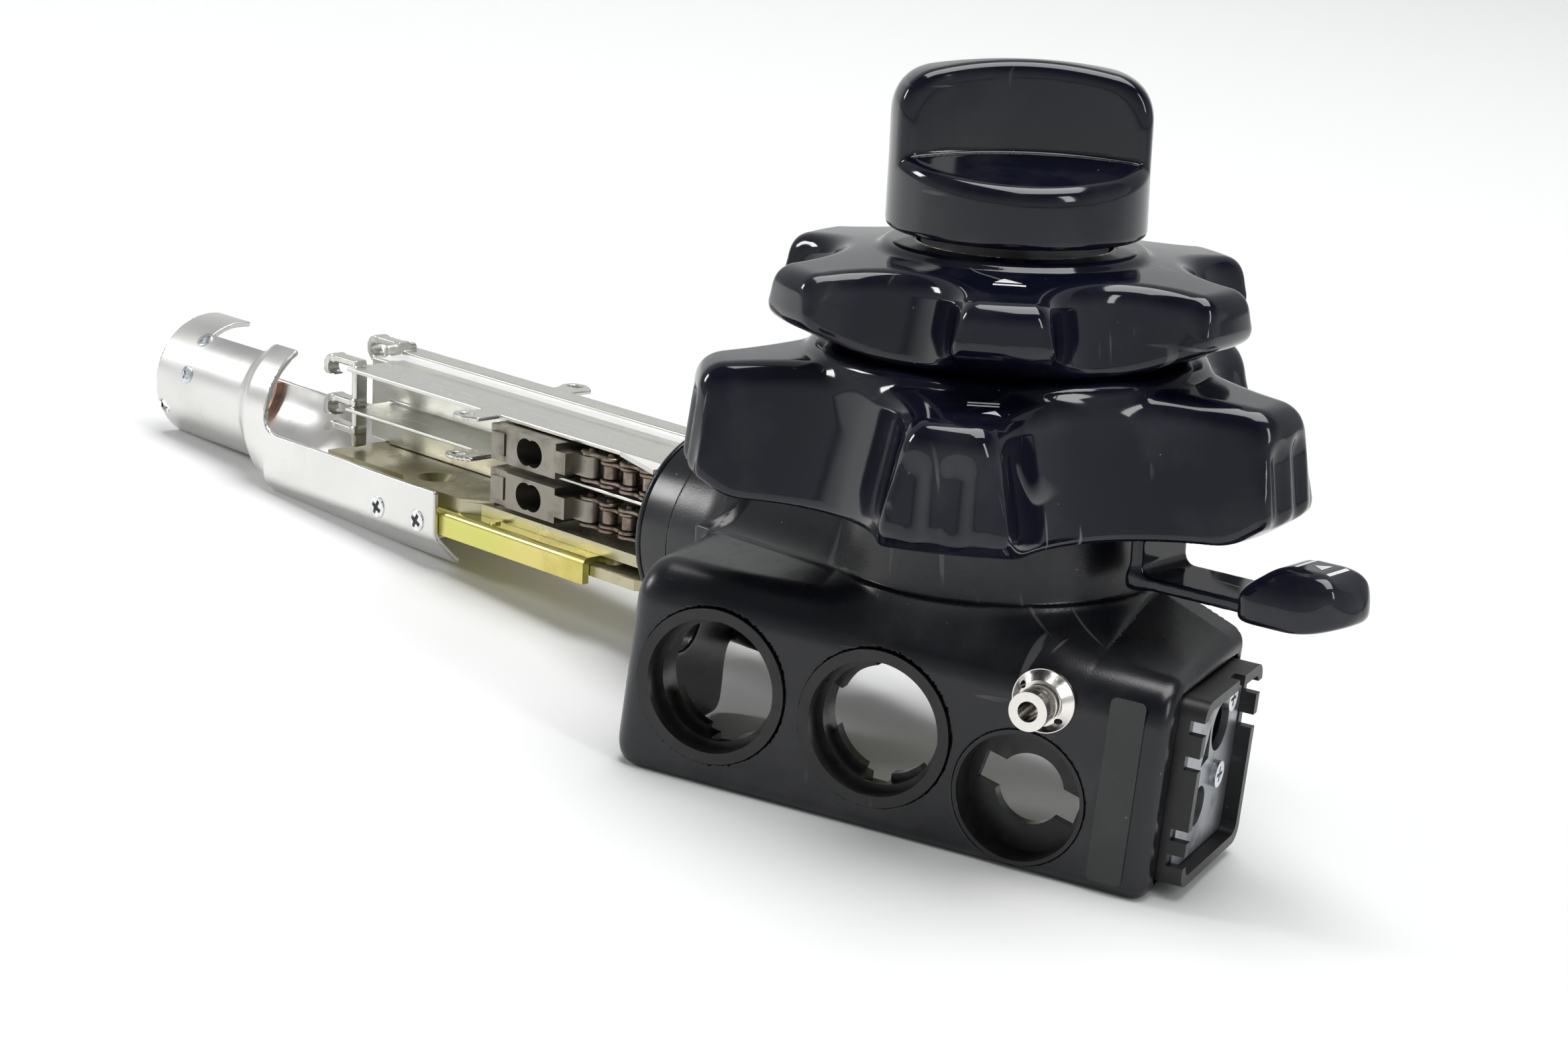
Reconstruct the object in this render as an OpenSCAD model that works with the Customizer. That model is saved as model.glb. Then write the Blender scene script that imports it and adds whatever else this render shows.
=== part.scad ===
// Control section of a flexible duodenoscope, stripped for repair: the bending knobs, their brakes,
// the valve housing and the chain chassis. Z is the knob axis, X runs along the chassis.

/* [Bending knobs] */
// Radius over the lobes of the up/down knob
ud_knob_r = 30; // [28:0.5:32]
// Radius over the lobes of the right/left knob
rl_knob_r = 23.2; // [22:0.1:24.5]
// Direction of one up/down lobe
ud_phase = -55.5; // [-90:0.5:90]
// Direction of one right/left lobe
rl_phase = -47.3; // [-90:0.5:90]
// Radius of the brake cap on top
cap_r = 11.9; // [11:0.1:12.5]
// Direction of the long side of the cap's grip
cap_turn = 51; // [0:1:90]

/* [Valve housing] */
// Turn of the valve face from the chassis axis
face_yaw = 23.5; // [20:0.5:27]
// Slope of the valve block down to its right end
face_tilt = 4.6; // [4:0.1:5.2]
// Half width of the two round valve seats
valve_r = 7.4; // [7:0.1:7.6]
// Radius of the switch seat
switch_r = 5.9; // [5.6:0.1:6.1]
// Thickness of the housing's walls
wall = 2.4; // [2:0.1:2.6]

/* [Chassis] */
// Pitch of the roller chains
chain_pitch = 3.1; // [3:0.05:3.15]
// Distance from the knob axis to the open end of the front tube
tube_reach = 131; // [128:1:136]
// Radius of the front tube
tube_r = 7.5; // [7.2:0.1:7.8]
// Thickness of the folded sheet parts
sheet = 0.6; // [0.5:0.05:0.7]

/* [Hidden] */
$fn = 64;
fine = 96;
slip = 0.05;
touch = 0.02;

// Heights above the chassis axis
plate_z = -2.5;
plate_t = 1.2;
lower_z = 0.05;
upper_z = 4.78;
flange_z = 7.3;
ceiling_z = 7.4;
boss_z = 12.3;
ud_z = 13;
ud_top = 26.3;
rl_z = 26.9;
rl_top = 36.2;
cap_z = 37.4;
cap_lip = 7;
cap_h = 15.5;

// Valve block, in its own frame: u along the face, n into the block, v up
block_at = [-1.6, -20.2, -5.8];
block_left = -21.2;
block_right = 32.6;
block_top = 10.2;
block_bottom = -9.85;
block_deep = 21;
valve_u = [-11.06, 5.33];
switch_at = [19.74, -2.97];
plug_at = [21, 6.6];

// Shaft stack on the knob axis
post_r = 1.2;
rl_shaft_r = 2.1;
ud_shaft_r = 3.1;
sleeve_r = 4.2;
bush_r = 6;
boss_r = 14.5;

// Chain and sprocket
teeth = 9;
roller_r = 0.9;
sprocket_r = chain_pitch / 2 / sin(180 / teeth);
link_half = 1.6;
link_t = 0.4;
link_w = 2;
links = 13;
pin_x = -53.8;

// Chain end blocks
block_x = -68.4;
block_y = 6.8;
block_w = 4.8;
block_h = 3.75;

neck_z = 0.8;
neck_r = 10.5;
neck_x = -40;
neck_bore = 9.3;
tube_z = -0.5;
trough_half = 9.3;
trough_x = -74.4;
rim_x = -106;
trough_top = -1.6;
bracket_y = -8.6;
strap_top = 59;
band_end = 101;
tube_screw_x = -124.8;
tube_screw_at = [12, 51.5];
trough_screw_x = [-84.5, -77.4];

module in_block() translate(block_at) rotate([0, face_tilt, face_yaw]) children();

// A shape drawn as (n, v) and pushed along u
module along_u(from, to) translate([from, 0, 0]) rotate([90, 0, 90]) linear_extrude(to - from) children();

// A round bar along n, whose front end is at depth n
module into_face(u, n, v, r, h) translate([u, n, v]) rotate([-90, 0, 0]) cylinder(r = r, h = h);

// A round bar along X
module bar_x(from, to, r) translate([from, 0, 0]) rotate([0, 90, 0]) cylinder(r = r, h = to - from);

module ring(r_in, r_out, from, to) translate([0, 0, from]) difference() {
    cylinder(r = r_out, h = to - from);
    translate([0, 0, -1]) cylinder(r = r_in, h = to - from + 2);
}

module rounded(x, y, r) {
    translate([r, 0]) square([x - 2 * r, y]);
    translate([0, r]) square([x, y - 2 * r]);
    for (i = [r, x - r], j = [r, y - r]) translate([i, j]) circle(r = r, $fn = 32);
}

// ---- Housing ----

front_round = 2.2;
corner_r = 2.4;
main_left = -27;
main_right = 19.9;
main_front = -14.4;
main_back = 12.6;
main_top = 5.9;
main_bottom = -6;
foot = 14;

module block_outer() in_block() intersection() {
    along_u(block_left, block_right) {
        translate([0, -foot]) square([block_deep, foot + block_top - front_round]);
        translate([front_round, -foot]) square([block_deep - front_round, foot + block_top]);
        translate([front_round, block_top - front_round]) circle(r = front_round);
    }
    translate([block_left, 0, -foot]) linear_extrude(2 * foot)
        rounded(block_right - block_left, block_deep, corner_r);
}

module boss_outer() {
    fillet = 2.5;
    cylinder(r = boss_r, h = boss_z);
    rotate_extrude($fn = fine) difference() {
        translate([boss_r - 1, 4]) square([1 + fillet, 5]);
        translate([boss_r + fillet, main_top + fillet]) circle(r = fillet);
    }
}

module housing_outer() {
    groove = 0.7;
    band = [-39.2, -35.2];
    intersection() {
        block_outer();
        translate([main_left - 0.6, -60, -40]) cube([100, 120, 80]);
    }
    intersection() {
        translate([main_left, main_front, main_bottom])
            cube([main_right - main_left, main_back - main_front, main_top - main_bottom]);
        in_block() translate([-60, 0, -40]) cube([120, 90, 80]);
    }
    translate([0, 0, neck_z]) difference() {
        bar_x(neck_x, -4, neck_r);
        difference() {
            bar_x(band[0], band[1], neck_r + 1);
            bar_x(band[0] - 1, band[1] + 1, neck_r - groove);
        }
    }
    boss_outer();
}

module housing_hollow() {
    depth = 19;
    translate([0, 0, neck_z]) bar_x(neck_x - 1, -6, neck_bore);
    translate([0, 0, -20]) cylinder(r = 11.5, h = 20 + ceiling_z);
    translate([main_left + wall, main_front + wall, -21])
        cube([main_right - main_left - 2 * wall, main_back - main_front - 2 * wall, 25]);
    in_block() translate([block_left + wall, wall, -foot - 1])
        cube([block_right - block_left - 2 * wall, depth, foot + 1 + block_top - wall]);
    translate([0, 0, ceiling_z - 1]) cylinder(r = bush_r, h = 10);
}

module frame_opening() in_block() translate([block_right - 4, 2.5, -8.9]) cube([6, 17, 17.9]);

pillar_at = [11, 7];
pillar_r = 2;
screw_r = 0.9;

module control_housing() color([0.06, 0.06, 0.07]) difference() {
    union() {
        difference() {
            housing_outer();
            housing_hollow();
            frame_opening();
        }
        for (s = [-1, 1]) translate([pillar_at[0], s * pillar_at[1], plate_z + touch])
            cylinder(r = pillar_r, h = 8, $fn = 32);
    }
    for (s = [-1, 1]) translate([pillar_at[0], s * pillar_at[1], plate_z - 1])
        cylinder(r = screw_r, h = 6, $fn = 32);
    in_block() {
        translate([-60, -30, block_bottom - 40]) cube([120, 90, 40]);
        for (u = valve_u) into_face(u, -1, 0, valve_r - 0.7, wall + 2);
        into_face(switch_at[0], -1, switch_at[1], switch_r + 0.4, wall + 2);
        into_face(plug_at[0], -1, plug_at[1], 1.6, wall + 2);
        into_face(plug_at[0], 0.8, plug_at[1], 2.1, wall);
        into_face(plug_at[0], wall, plug_at[1], 2.8, 4.5);
    }
}

module neck_seal() color([0.09, 0.09, 0.1]) translate([0, 0, neck_z]) difference() {
    bar_x(-39.1, -35.3, neck_r - 0.15);
    bar_x(-40, -35, neck_r - 0.7 + touch);
}

// Stepped ring with bayonet ledges: a is the direction of the keyway, ledges the others
module valve_seat(u, keyway, ledges) color([0.08, 0.08, 0.09]) in_block() {
    body_r = valve_r - 0.7 - touch;
    deep = 4.4;
    step = 1.7;
    bore = 5.7;
    translate([u, 0, 0]) rotate([-90, 0, 0]) difference() {
        union() {
            ring(bore + 0.65, valve_r, -0.3, -touch);
            ring(bore + 0.65, body_r, -0.1, step);
            ring(bore, body_r, step - 0.1, deep);
            for (a = ledges) intersection() {
                ring(bore - 0.6, bore + 0.3, deep - 1.2, deep);
                rotate(a - 14) cube([9, 4, 9]);
            }
        }
        rotate(keyway) translate([4, -1.1, step + 0.2]) cube([2.3, 2.2, deep]);
    }
}

module valve_seat_suction() valve_seat(valve_u[0], 82, [118]);
module valve_seat_air_water() valve_seat(valve_u[1], 90, [58, 122, 215, 310]);

module switch_seat() color([0.08, 0.08, 0.09]) in_block()
    translate([switch_at[0], 0, switch_at[1]]) rotate([-90, 0, 0]) difference() {
        floor_at = 3.1;
        cup_r = switch_r + 0.4 - touch;
        union() {
            ring(switch_r, cup_r, 0, floor_at + 1);
            translate([0, 0, floor_at]) cylinder(r = cup_r, h = 1.1);
        }
        translate([0, 0, floor_at - 1]) cylinder(r = 3.3, h = 4);
        for (s = [0, 180]) rotate(s + 14) translate([0, -1.5, floor_at - 1]) cube([4.9, 3, 4]);
    }

// ---- Elevator channel plug ----

module plug_frame() in_block() translate([plug_at[0], 0, plug_at[1]]) rotate([90, 0, 0]) children();

module plug_flange() color([0.86, 0.84, 0.79]) plug_frame() difference() {
    union() {
        translate([0, 0, touch]) cylinder(r = 2.95, h = 0.35);
        translate([0, 0, 0.3]) cylinder(r1 = 2.95, r2 = 2.1, h = 0.9);
    }
    translate([0, 0, -1]) cylinder(r = 1.5 + slip, h = 4);
    for (s = [0, 180]) rotate(145 + s) translate([2.25, 0, -1]) cylinder(r = 0.32, h = 4, $fn = 24);
}

module plug_stub() color([0.8, 0.78, 0.73]) plug_frame() difference() {
    union() {
        translate([0, 0, -6]) cylinder(r = 1.5, h = 10.2);
        translate([0, 0, 1.5]) cylinder(r = 1.75, h = 0.4);
        translate([0, 0, 2.3]) cylinder(r = 1.75, h = 0.35);
        translate([0, 0, 3.2]) cylinder(r = 1.8, h = 1);
        translate([0, 0, -4.6]) cylinder(r = 2.6, h = 0.8);
    }
    translate([0, 0, -7]) cylinder(r = 0.95, h = 12);
}

module plug_oring() color([0.1, 0.1, 0.1]) plug_frame() translate([0, 0, -1.5])
    rotate_extrude() translate([1.8, 0]) circle(r = 0.25, $fn = 24);

module blank_label() color([0.2, 0.2, 0.22]) in_block() translate([27.1, -touch, -8.7])
    rotate([90, 0, 0]) linear_extrude(0.12) rounded(3.3, 17.2, 0.6);

// ---- Switch end ----

frame_n = [2.7, 19.3];
frame_v = [-8.7, 8.8];
frame_u = [29.4, 35];

module frame_outline(inset) translate([frame_n[0] + inset, frame_v[0] + inset])
    rounded(frame_n[1] - frame_n[0] - 2 * inset, frame_v[1] - frame_v[0] - 2 * inset, 1.6 - inset / 2);

module switch_frame() color([0.05, 0.05, 0.06]) in_block() difference() {
    along_u(frame_u[0], frame_u[1]) frame_outline(0);
    along_u(frame_u[0] - 1, frame_u[0] + 3.4) frame_outline(2);
    along_u(plate_u - 2, plate_u) translate([13.8, 6.4]) circle(r = 0.75);
    along_u(frame_u[0] + 3, frame_u[1] + 1) frame_outline(1);
    // Castellations in the rim
    for (v = [2.5, 5.8], n = frame_n) translate([frame_u[1] - 1.3, n - 2, v]) cube([3, 4, 1.3]);
    for (v = [-6.6, -4.2]) translate([frame_u[1] - 1.6, frame_n[0] - 1, v]) cube([3, 2.5, 1.1]);
    translate([frame_u[1] - 1, 12, frame_v[1] - 1.5]) cube([3, 1.6, 3]);
}

plate_u = 32.85;

module switch_mount_plate() color([0.55, 0.55, 0.55]) in_block() difference() {
    along_u(plate_u, plate_u + 0.7) frame_outline(1.1);
    for (p = [[13, 3.8, 2.3], [9.4, -2.9, 1.9], [13.8, 6.4, 0.75], [13, -0.7, 0.75]])
        along_u(plate_u - 1, plate_u + 2) translate([p[0], p[1]]) circle(r = p[2]);
    along_u(plate_u - 1, plate_u + 2) polygon([[8.6, 1], [10.1, 4.6], [10.6, 1.4]]);
}

module pan_screw(head_r, head_h, r, length) difference() {
    union() {
        cylinder(r = head_r, h = head_h, $fn = 32);
        translate([0, 0, -length]) cylinder(r = r, h = length + 0.1, $fn = 24);
    }
    for (a = [0, 90]) rotate(a)
        translate([-head_r * 0.6, -head_r * 0.13, head_h * 0.4]) cube([head_r * 1.2, head_r * 0.26, 2]);
}

module switch_plate_screws() color([0.75, 0.75, 0.75]) in_block()
    for (p = [[13.8, 6.4], [13, -0.7]]) translate([plate_u + 0.7 + touch, p[0], p[1]])
        rotate([0, 90, 0]) pan_screw(1.25, 0.6, 0.65, 2);

// ---- Fixed parts on the knob axis ----

module boss_bush() color([0.7, 0.58, 0.3]) difference() {
    union() {
        translate([0, 0, ceiling_z + touch]) cylinder(r = bush_r - touch, h = boss_z - ceiling_z - 0.1);
        translate([0, 0, ceiling_z - 0.6]) cylinder(r = bush_r + 1, h = 0.6 - touch);
        translate([0, 0, ceiling_z - 0.3]) cylinder(r = sleeve_r, h = 7.7);
    }
    cylinder(r = ud_shaft_r + slip, h = 30);
    translate([0, 0, 10]) cylinder(r = 3.95, h = 0.8);
}

module shaft_oring() color([0.1, 0.1, 0.1]) ring(ud_shaft_r + slip, 3.9, 10.05, 10.75);

module ud_brake_plate() color([0.62, 0.62, 0.62]) ring(sleeve_r + touch, 12, 13.6, 14.3);

module centre_post() color([0.75, 0.75, 0.77]) {
    translate([0, 0, plate_z - plate_t]) cylinder(r = post_r, h = 46);
    translate([0, 0, plate_z - plate_t - 0.9]) cylinder(r = 2.6, h = 0.9 - touch);
    translate([0, 0, plate_z - plate_t - 0.3]) cylinder(r = post_r, h = 0.5);
}

module post_clip() color([0.6, 0.6, 0.62]) ring(post_r + touch, 2.6, 34.55, 34.95);

// ---- Chassis ----

module base_plate() color([0.72, 0.62, 0.35]) difference() {
    pad_t = 0.3;
    union() {
        translate([-98, -6.3, plate_z - plate_t]) cube([102, 12.6, plate_t]);
        translate([2, -10, plate_z - plate_t]) cube([12.5, 19.6, plate_t]);
        translate([0, 0, plate_z]) linear_extrude(pad_t)
            polygon([
                [-98, -6.3], [-84, -6.3], [-82, -7.6], [-72, -7.6], [-69, -5.4], [-69, 6.3], [-98, 6.3]]);
        translate([0, 0, plate_z - plate_t]) linear_extrude(plate_t)
            polygon([[-84, -6], [-84, -6.3], [-82, -7.6], [-72, -7.6], [-70, -6.3], [-70, -6]]);
    }
    translate([0, 0, -6]) cylinder(r = post_r + touch, h = 6);
    for (s = [-1, 1]) translate([pillar_at[0], s * pillar_at[1], -6]) cylinder(r = 1.1, h = 6, $fn = 32);
    translate([-81.2, -3.9, -6]) cylinder(r = 1.1, h = 6, $fn = 32);
    translate([-81.2, -3.9, plate_z - 0.7]) cylinder(r1 = 1.1, r2 = 2.2, h = 1.1);
}

module base_plate_screws() color([0.8, 0.8, 0.82]) for (s = [-1, 1])
    translate([pillar_at[0], s * pillar_at[1], plate_z - plate_t - touch]) mirror([0, 0, 1])
        pan_screw(1.7, 0.9, screw_r - touch, 4.5);

module angle_bracket() color([0.78, 0.72, 0.25]) {
    left = -92;
    right = -50.1;
    top = plate_z - plate_t - touch;
    drop = 2.75;
    round_r = 0.8;
    difference() {
        union() {
            translate([left, bracket_y + round_r, top - 0.8]) cube([right - left, 8.4, 0.8]);
            translate([left, bracket_y, top - drop]) cube([right - left, 0.8, drop - round_r]);
            intersection() {
                translate([0, bracket_y + round_r, top - round_r]) bar_x(left, right, round_r);
                translate([left, bracket_y, top - round_r]) cube([right - left, round_r, round_r]);
            }
        }
        for (x = trough_screw_x) translate([x, bracket_y - 1, -5.55]) rotate([-90, 0, 0])
            cylinder(r = 0.7, h = 3, $fn = 24);
        translate([-81.2, -3.9, -6]) cylinder(r = 0.95, h = 3, $fn = 24);
    }
    // Rivet that holds the bracket's flange
    translate([-66.5, -7.2, top - 0.1]) cylinder(r = 0.6, h = 0.35, $fn = 24);
}

// Nickel plate that carries the chassis into the neck
module neck_bridge() color([0.68, 0.64, 0.55]) {
    top = plate_z - plate_t - 0.8 - 2 * touch;
    difference() {
        translate([0, 0, top - 1.1]) linear_extrude(1.1) polygon(
            [[-56.5, -7.7], [-43, -7.7], [-41.5, -6.3], [-30, -6.3], [-30, 6], [-56.5, 6]]);
        translate([-49.5, -5, top - 3]) cylinder(r = 1, h = 5, $fn = 32);
    }
}

module claw(x, y, z) translate([x - 4, y - 0.6, z]) {
    translate([-1.2, 0, -1.3]) cube([0.6, 1.4, 2.2]);
    translate([-1.2, 0, 0.3]) cube([3, 1.4, 0.6]);
    translate([1.2, 0, -0.1]) cube([3, 1.4, 0.6]);
}

module lug(x, y, side, z) translate([x, y, z]) difference() {
    union() {
        translate([-0.7, side > 0 ? -0.2 : -1.8, 0]) cube([1.4, 2, 0.35]);
        translate([-0.4, side * 2.3, 0]) cylinder(r = 1.15, h = 0.35, $fn = 32);
    }
    translate([-0.4, side * 2.3, -1]) cylinder(r = 0.65, h = 3, $fn = 24);
}

near_edge = -5;
far_edge = 5.4;
web_y = 0.9;
channel_end = -10;
mid_z = 2.35;

module guide_channel_near() color([0.75, 0.74, 0.71]) {
    left = -97;
    translate([left, web_y, plate_z + 0.32]) cube([channel_end - left, 0.5, flange_z - plate_z - 0.32]);
    translate([left, near_edge, flange_z - 0.5]) cube([channel_end - left, web_y + 0.5 - near_edge, 0.5]);
    translate([left, near_edge - 0.2, mid_z]) cube([channel_end - left, web_y + 0.3 - near_edge, 0.4]);
    claw(left, near_edge + 0.6, flange_z - 0.5);
    claw(left, near_edge + 0.6, mid_z);
    lug(-70.8, near_edge, -1, flange_z - 0.4);
    lug(-71.8, near_edge - 0.2, -1, mid_z + 0.02);
}

module guide_channel_rear() color([0.7, 0.71, 0.69]) {
    left = -101;
    lip_end = -43;
    web = web_y + 0.5 + touch;
    translate([left, web, plate_z + 0.32]) cube([channel_end - left, 0.5, flange_z - plate_z - 0.32]);
    translate([left, web, flange_z - 0.5]) cube([channel_end - left, far_edge - web, 0.5]);
    translate([left, web + 0.3, mid_z]) cube([channel_end - left, 3.5, 0.4]);
    translate([left, far_edge - 0.1, flange_z - 0.5]) cube([lip_end - left, 2.3, 0.4]);
    translate([left, far_edge + 2.1, flange_z - 0.5]) cube([lip_end - left, 0.5, 1.3]);
    claw(left, far_edge, flange_z - 0.5);
    lug(-75.2, far_edge + 2.6, 1, flange_z);
}

module trough_section(inset) {
    w = trough_half - inset;
    low = -10.3 + inset;
    cut = 3.4 - 0.41 * inset;
    polygon([
        [-w, 3 * tube_r], [-w, low + cut], [-w + cut, low], [w - cut, low], [w, low + cut], [w, 3 * tube_r]]);
}

// The round tube with its flared rim; inset shrinks it to the bore and lengthens it past both ends
module tube_shape(inset) translate([0, 0, tube_z]) rotate([0, 90, 0]) {
    flare_r = 9.4;
    past = inset > 0 ? 1 : 0;
    rotate_extrude() polygon([
        [0, -tube_reach - past], [tube_r - inset, -tube_reach - past], [tube_r - inset, -113],
        [flare_r - inset, -110.5], [flare_r - inset, rim_x + past], [0, rim_x + past]]);
}

module front_trough() color([0.8, 0.8, 0.8]) difference() {
    union() {
        difference() {
            tube_shape(0);
            tube_shape(sheet);
        }
        difference() {
            rotate([90, 0, 90]) translate([0, 0, rim_x - 2]) linear_extrude(trough_x - rim_x + 2)
                difference() {
                    trough_section(0);
                    trough_section(sheet);
                }
            translate([rim_x - 3, -20, trough_top]) cube([60, 40, 40]);
            translate([0, 0, tube_z]) bar_x(rim_x - 3, rim_x, 9.1);
        }
    }
    // Everything above the near wall's upper edge and the far wall is cut away
    translate([-124.5, 0, tube_z]) rotate([90, 0, 90]) linear_extrude(26)
        polygon([[0, 0], [-20 * cos(strap_top), 20 * sin(strap_top)], [0, 40], [30, 40], [30, -1.3]]);
    // The end band stops just past its top on the far side
    translate([-tube_reach - 1, 0, tube_z]) rotate([90, 0, 90]) linear_extrude(9)
        polygon([[0, 0], [-20 * cos(band_end), 20 * sin(band_end)], [30, 40], [30, -1.3]]);
    for (a = tube_screw_at) translate([tube_screw_x, 0, tube_z]) rotate([90 - a, 0, 0])
        translate([0, 0, 5]) cylinder(r = 0.6, h = 5, $fn = 24);
    for (x = trough_screw_x) translate([x, -trough_half - 1, -5.55]) rotate([-90, 0, 0])
        cylinder(r = 0.8, h = 3, $fn = 24);
    translate([-129.6, 0, tube_z]) rotate([90 + 22, 0, 0]) cylinder(r = 0.8, h = 12, $fn = 24);
}

// Half ring inside the tube's open end
module tube_ring() color([0.62, 0.5, 0.4]) translate([0, 0, tube_z]) difference() {
    bar_x(-127.3, -125.7, tube_r - sheet - touch);
    bar_x(-140, -110, tube_r - sheet - 0.9);
    translate([-140, -20, -0.7]) cube([40, 40, 20]);
}

module tube_screws() color([0.7, 0.74, 0.78]) for (a = tube_screw_at)
    translate([tube_screw_x, 0, tube_z]) rotate([90 - a, 0, 0]) translate([0, 0, tube_r + touch])
        pan_screw(1, 0.25, 0.5, 1.4);

module trough_screws() color([0.85, 0.85, 0.85]) for (x = trough_screw_x)
    translate([x, -trough_half - touch, -5.55]) rotate([90, 0, 0]) pan_screw(1.2, 0.3, 0.65, 1.4);

// White wedge that keeps the chain off the neck's mouth
module chain_shield() color([0.88, 0.87, 0.84]) translate([0, 0, flange_z - 0.5]) linear_extrude(0.5)
    polygon([[-49, near_edge - 0.05], [-41, near_edge - 2.4], [-41, near_edge - 0.05]]);

// ---- Turning parts ----

module sprocket(z, bore) difference() {
    hub_r = 3.45;
    union() {
        translate([0, 0, z - 0.6]) cylinder(r = sprocket_r + 0.5, h = 1.2);
        translate([0, 0, z - 1.5]) cylinder(r = hub_r, h = 3);
    }
    translate([0, 0, z - 3]) cylinder(r = bore, h = 6);
    for (i = [0 : teeth - 1]) rotate(i * 360 / teeth) translate([sprocket_r, 0, z - 3])
        cylinder(r = roller_r + slip, h = 6, $fn = 32);
}

// The closed turn of chain that rides on a sprocket
module chain_loop(z) color([0.36, 0.31, 0.27]) {
    for (i = [0 : teeth - 1]) rotate(i * 360 / teeth) translate([sprocket_r, 0, z - link_half])
        cylinder(r = roller_r, h = 2 * link_half, $fn = 24);
    for (s = [z - link_half, z + link_half - link_t]) translate([0, 0, s]) difference() {
        cylinder(r = sprocket_r + 1.1, h = link_t);
        translate([0, 0, -1]) cylinder(r = 3.5 + slip, h = 3);
    }
}

module ud_shaft() color([0.72, 0.72, 0.74]) ring(rl_shaft_r + slip, ud_shaft_r, 2.8, 24);
module ud_sprocket() color([0.5, 0.5, 0.5]) sprocket(upper_z, ud_shaft_r);
module ud_chain_loop() chain_loop(upper_z);
module rl_shaft() color([0.72, 0.72, 0.74]) ring(post_r + slip, rl_shaft_r, plate_z + 0.5, 34.5);
module rl_sprocket() color([0.5, 0.5, 0.5]) sprocket(lower_z, rl_shaft_r);
module rl_chain_loop() chain_loop(lower_z);

module ud_knob() color([0.03, 0.035, 0.06]) difference() {
    lobes = 5;
    scallop_r = 16.7;
    scallop_at = ud_knob_r + 5.2;
    rotate_extrude($fn = fine) polygon([
        [ud_shaft_r, 16.5], [ud_shaft_r, ud_top], [18.3, ud_top], [18.5, 25.7], [22, 25.6],
        [ud_knob_r - 2.6, 24.9], [ud_knob_r - 1.3, 24.2], [ud_knob_r - 0.6, 22.6], [ud_knob_r, 15],
        [ud_knob_r - 0.5, 13.8], [ud_knob_r - 1.6, ud_z], [15, ud_z], [15, 16.5]]);
    for (i = [0 : lobes - 1]) rotate(ud_phase + (i + 0.5) * 360 / lobes)
        translate([scallop_at, 0, ud_z - 1]) cylinder(r1 = scallop_r - 0.6, r2 = scallop_r + 0.5, h = 16);
}

module rl_knob() color([0.03, 0.035, 0.06]) difference() {
    lobes = 6;
    scallop_r = 8;
    scallop_at = rl_knob_r + 0.8;
    rotate_extrude($fn = fine) polygon([
        [rl_shaft_r, rl_z + 1.5], [rl_shaft_r, 34.5], [9, 34.5], [9, rl_top], [12, rl_top],
        [12.2, 35.5], [16, 35.4], [rl_knob_r - 2.2, 34.6], [rl_knob_r - 0.5, 33.4], [rl_knob_r, 32],
        [rl_knob_r - 0.2, 29.8], [rl_knob_r - 1.2, 28.9], [18.5, rl_z + 0.3], [17, rl_z],
        [10, rl_z], [10, rl_z + 1.5]]);
    for (i = [0 : lobes - 1]) rotate(rl_phase + (i + 0.5) * 360 / lobes)
        translate([scallop_at, 0, rl_z - 1]) cylinder(r = scallop_r, h = 12);
}

module rl_brake_cap() color([0.03, 0.035, 0.06]) difference() {
    grip_half = 2.2;
    hollow_r = 22;
    rotate_extrude($fn = fine) polygon([
        [post_r + slip, 35.1], [3, 35.1], [3, cap_z], [cap_r - 0.5, cap_z], [cap_r, cap_z + 0.5],
        [cap_r, cap_z + cap_h - 2.5], [cap_r - 0.7, cap_z + cap_h - 0.9], [cap_r - 2.4, cap_z + cap_h],
        [0, cap_z + cap_h], [0, 43.5], [post_r + slip, 43.5]]);
    for (s = [0, 180]) rotate(cap_turn - 90 + s) translate([hollow_r + grip_half, 0, cap_z + cap_lip])
        cylinder(r = hollow_r, h = cap_h, $fn = fine);
}

module rl_brake_disc() color([0.62, 0.62, 0.62]) ring(3 + touch, 8.6, 35.2, 36);

lever_turn = 7;

module ud_brake_lever() color([0.04, 0.04, 0.05]) rotate(lever_turn) difference() {
    union() {
        translate([0, 0, 12.45]) cylinder(r = 12.6, h = 0.4);
        translate([9, -3.6, 12.45]) cube([9.7, 7.2, 0.4]);
        translate([17.5, -3.6, 7.9]) cube([1.2, 7.2, 4.95]);
        translate([17.5, -3.6, 7.9]) cube([14.5, 7.2, 1.1]);
    }
    cylinder(r = sleeve_r + slip, h = 20);
}

// Thumb pad: bevelled along its sides and both ends, rounded in plan at the outer end
module lever_pad() color([0.04, 0.04, 0.05]) rotate(lever_turn) difference() {
    pad_x = 29.3;
    pad_z = 7.3;
    pad_long = 10.6;
    pad_h = 5.5;
    half = 4.6;
    intersection() {
        translate([pad_x, -half, pad_z]) rotate([90, 0, 90]) linear_extrude(pad_long)
            polygon([[0, 0], [2 * half, 0], [2 * half, 3.5], [2 * half - 1.6, pad_h], [1.6, pad_h], [0, 3.5]]);
        translate([pad_x, -half, pad_z]) rotate([90, 0, 0]) mirror([0, 0, 1]) linear_extrude(2 * half)
            polygon([[0, 0], [7.4, 0], [pad_long, 1.6], [pad_long, 3.4], [8.6, pad_h], [2.8, pad_h], [0, 3.1]]);
        translate([pad_x, 0, pad_z - 1]) linear_extrude(pad_h + 2)
            polygon([[0, -half], [6.7, -half], [9.8, -2.5], [pad_long, 0], [9.8, 2.5], [6.7, half], [0, half]]);
    }
    translate([28, -3.6 - touch, 7.9 - touch]) cube([4.02, 7.2 + 2 * touch, 1.1 + 2 * touch]);
}

// ---- Chain runs ----

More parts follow.
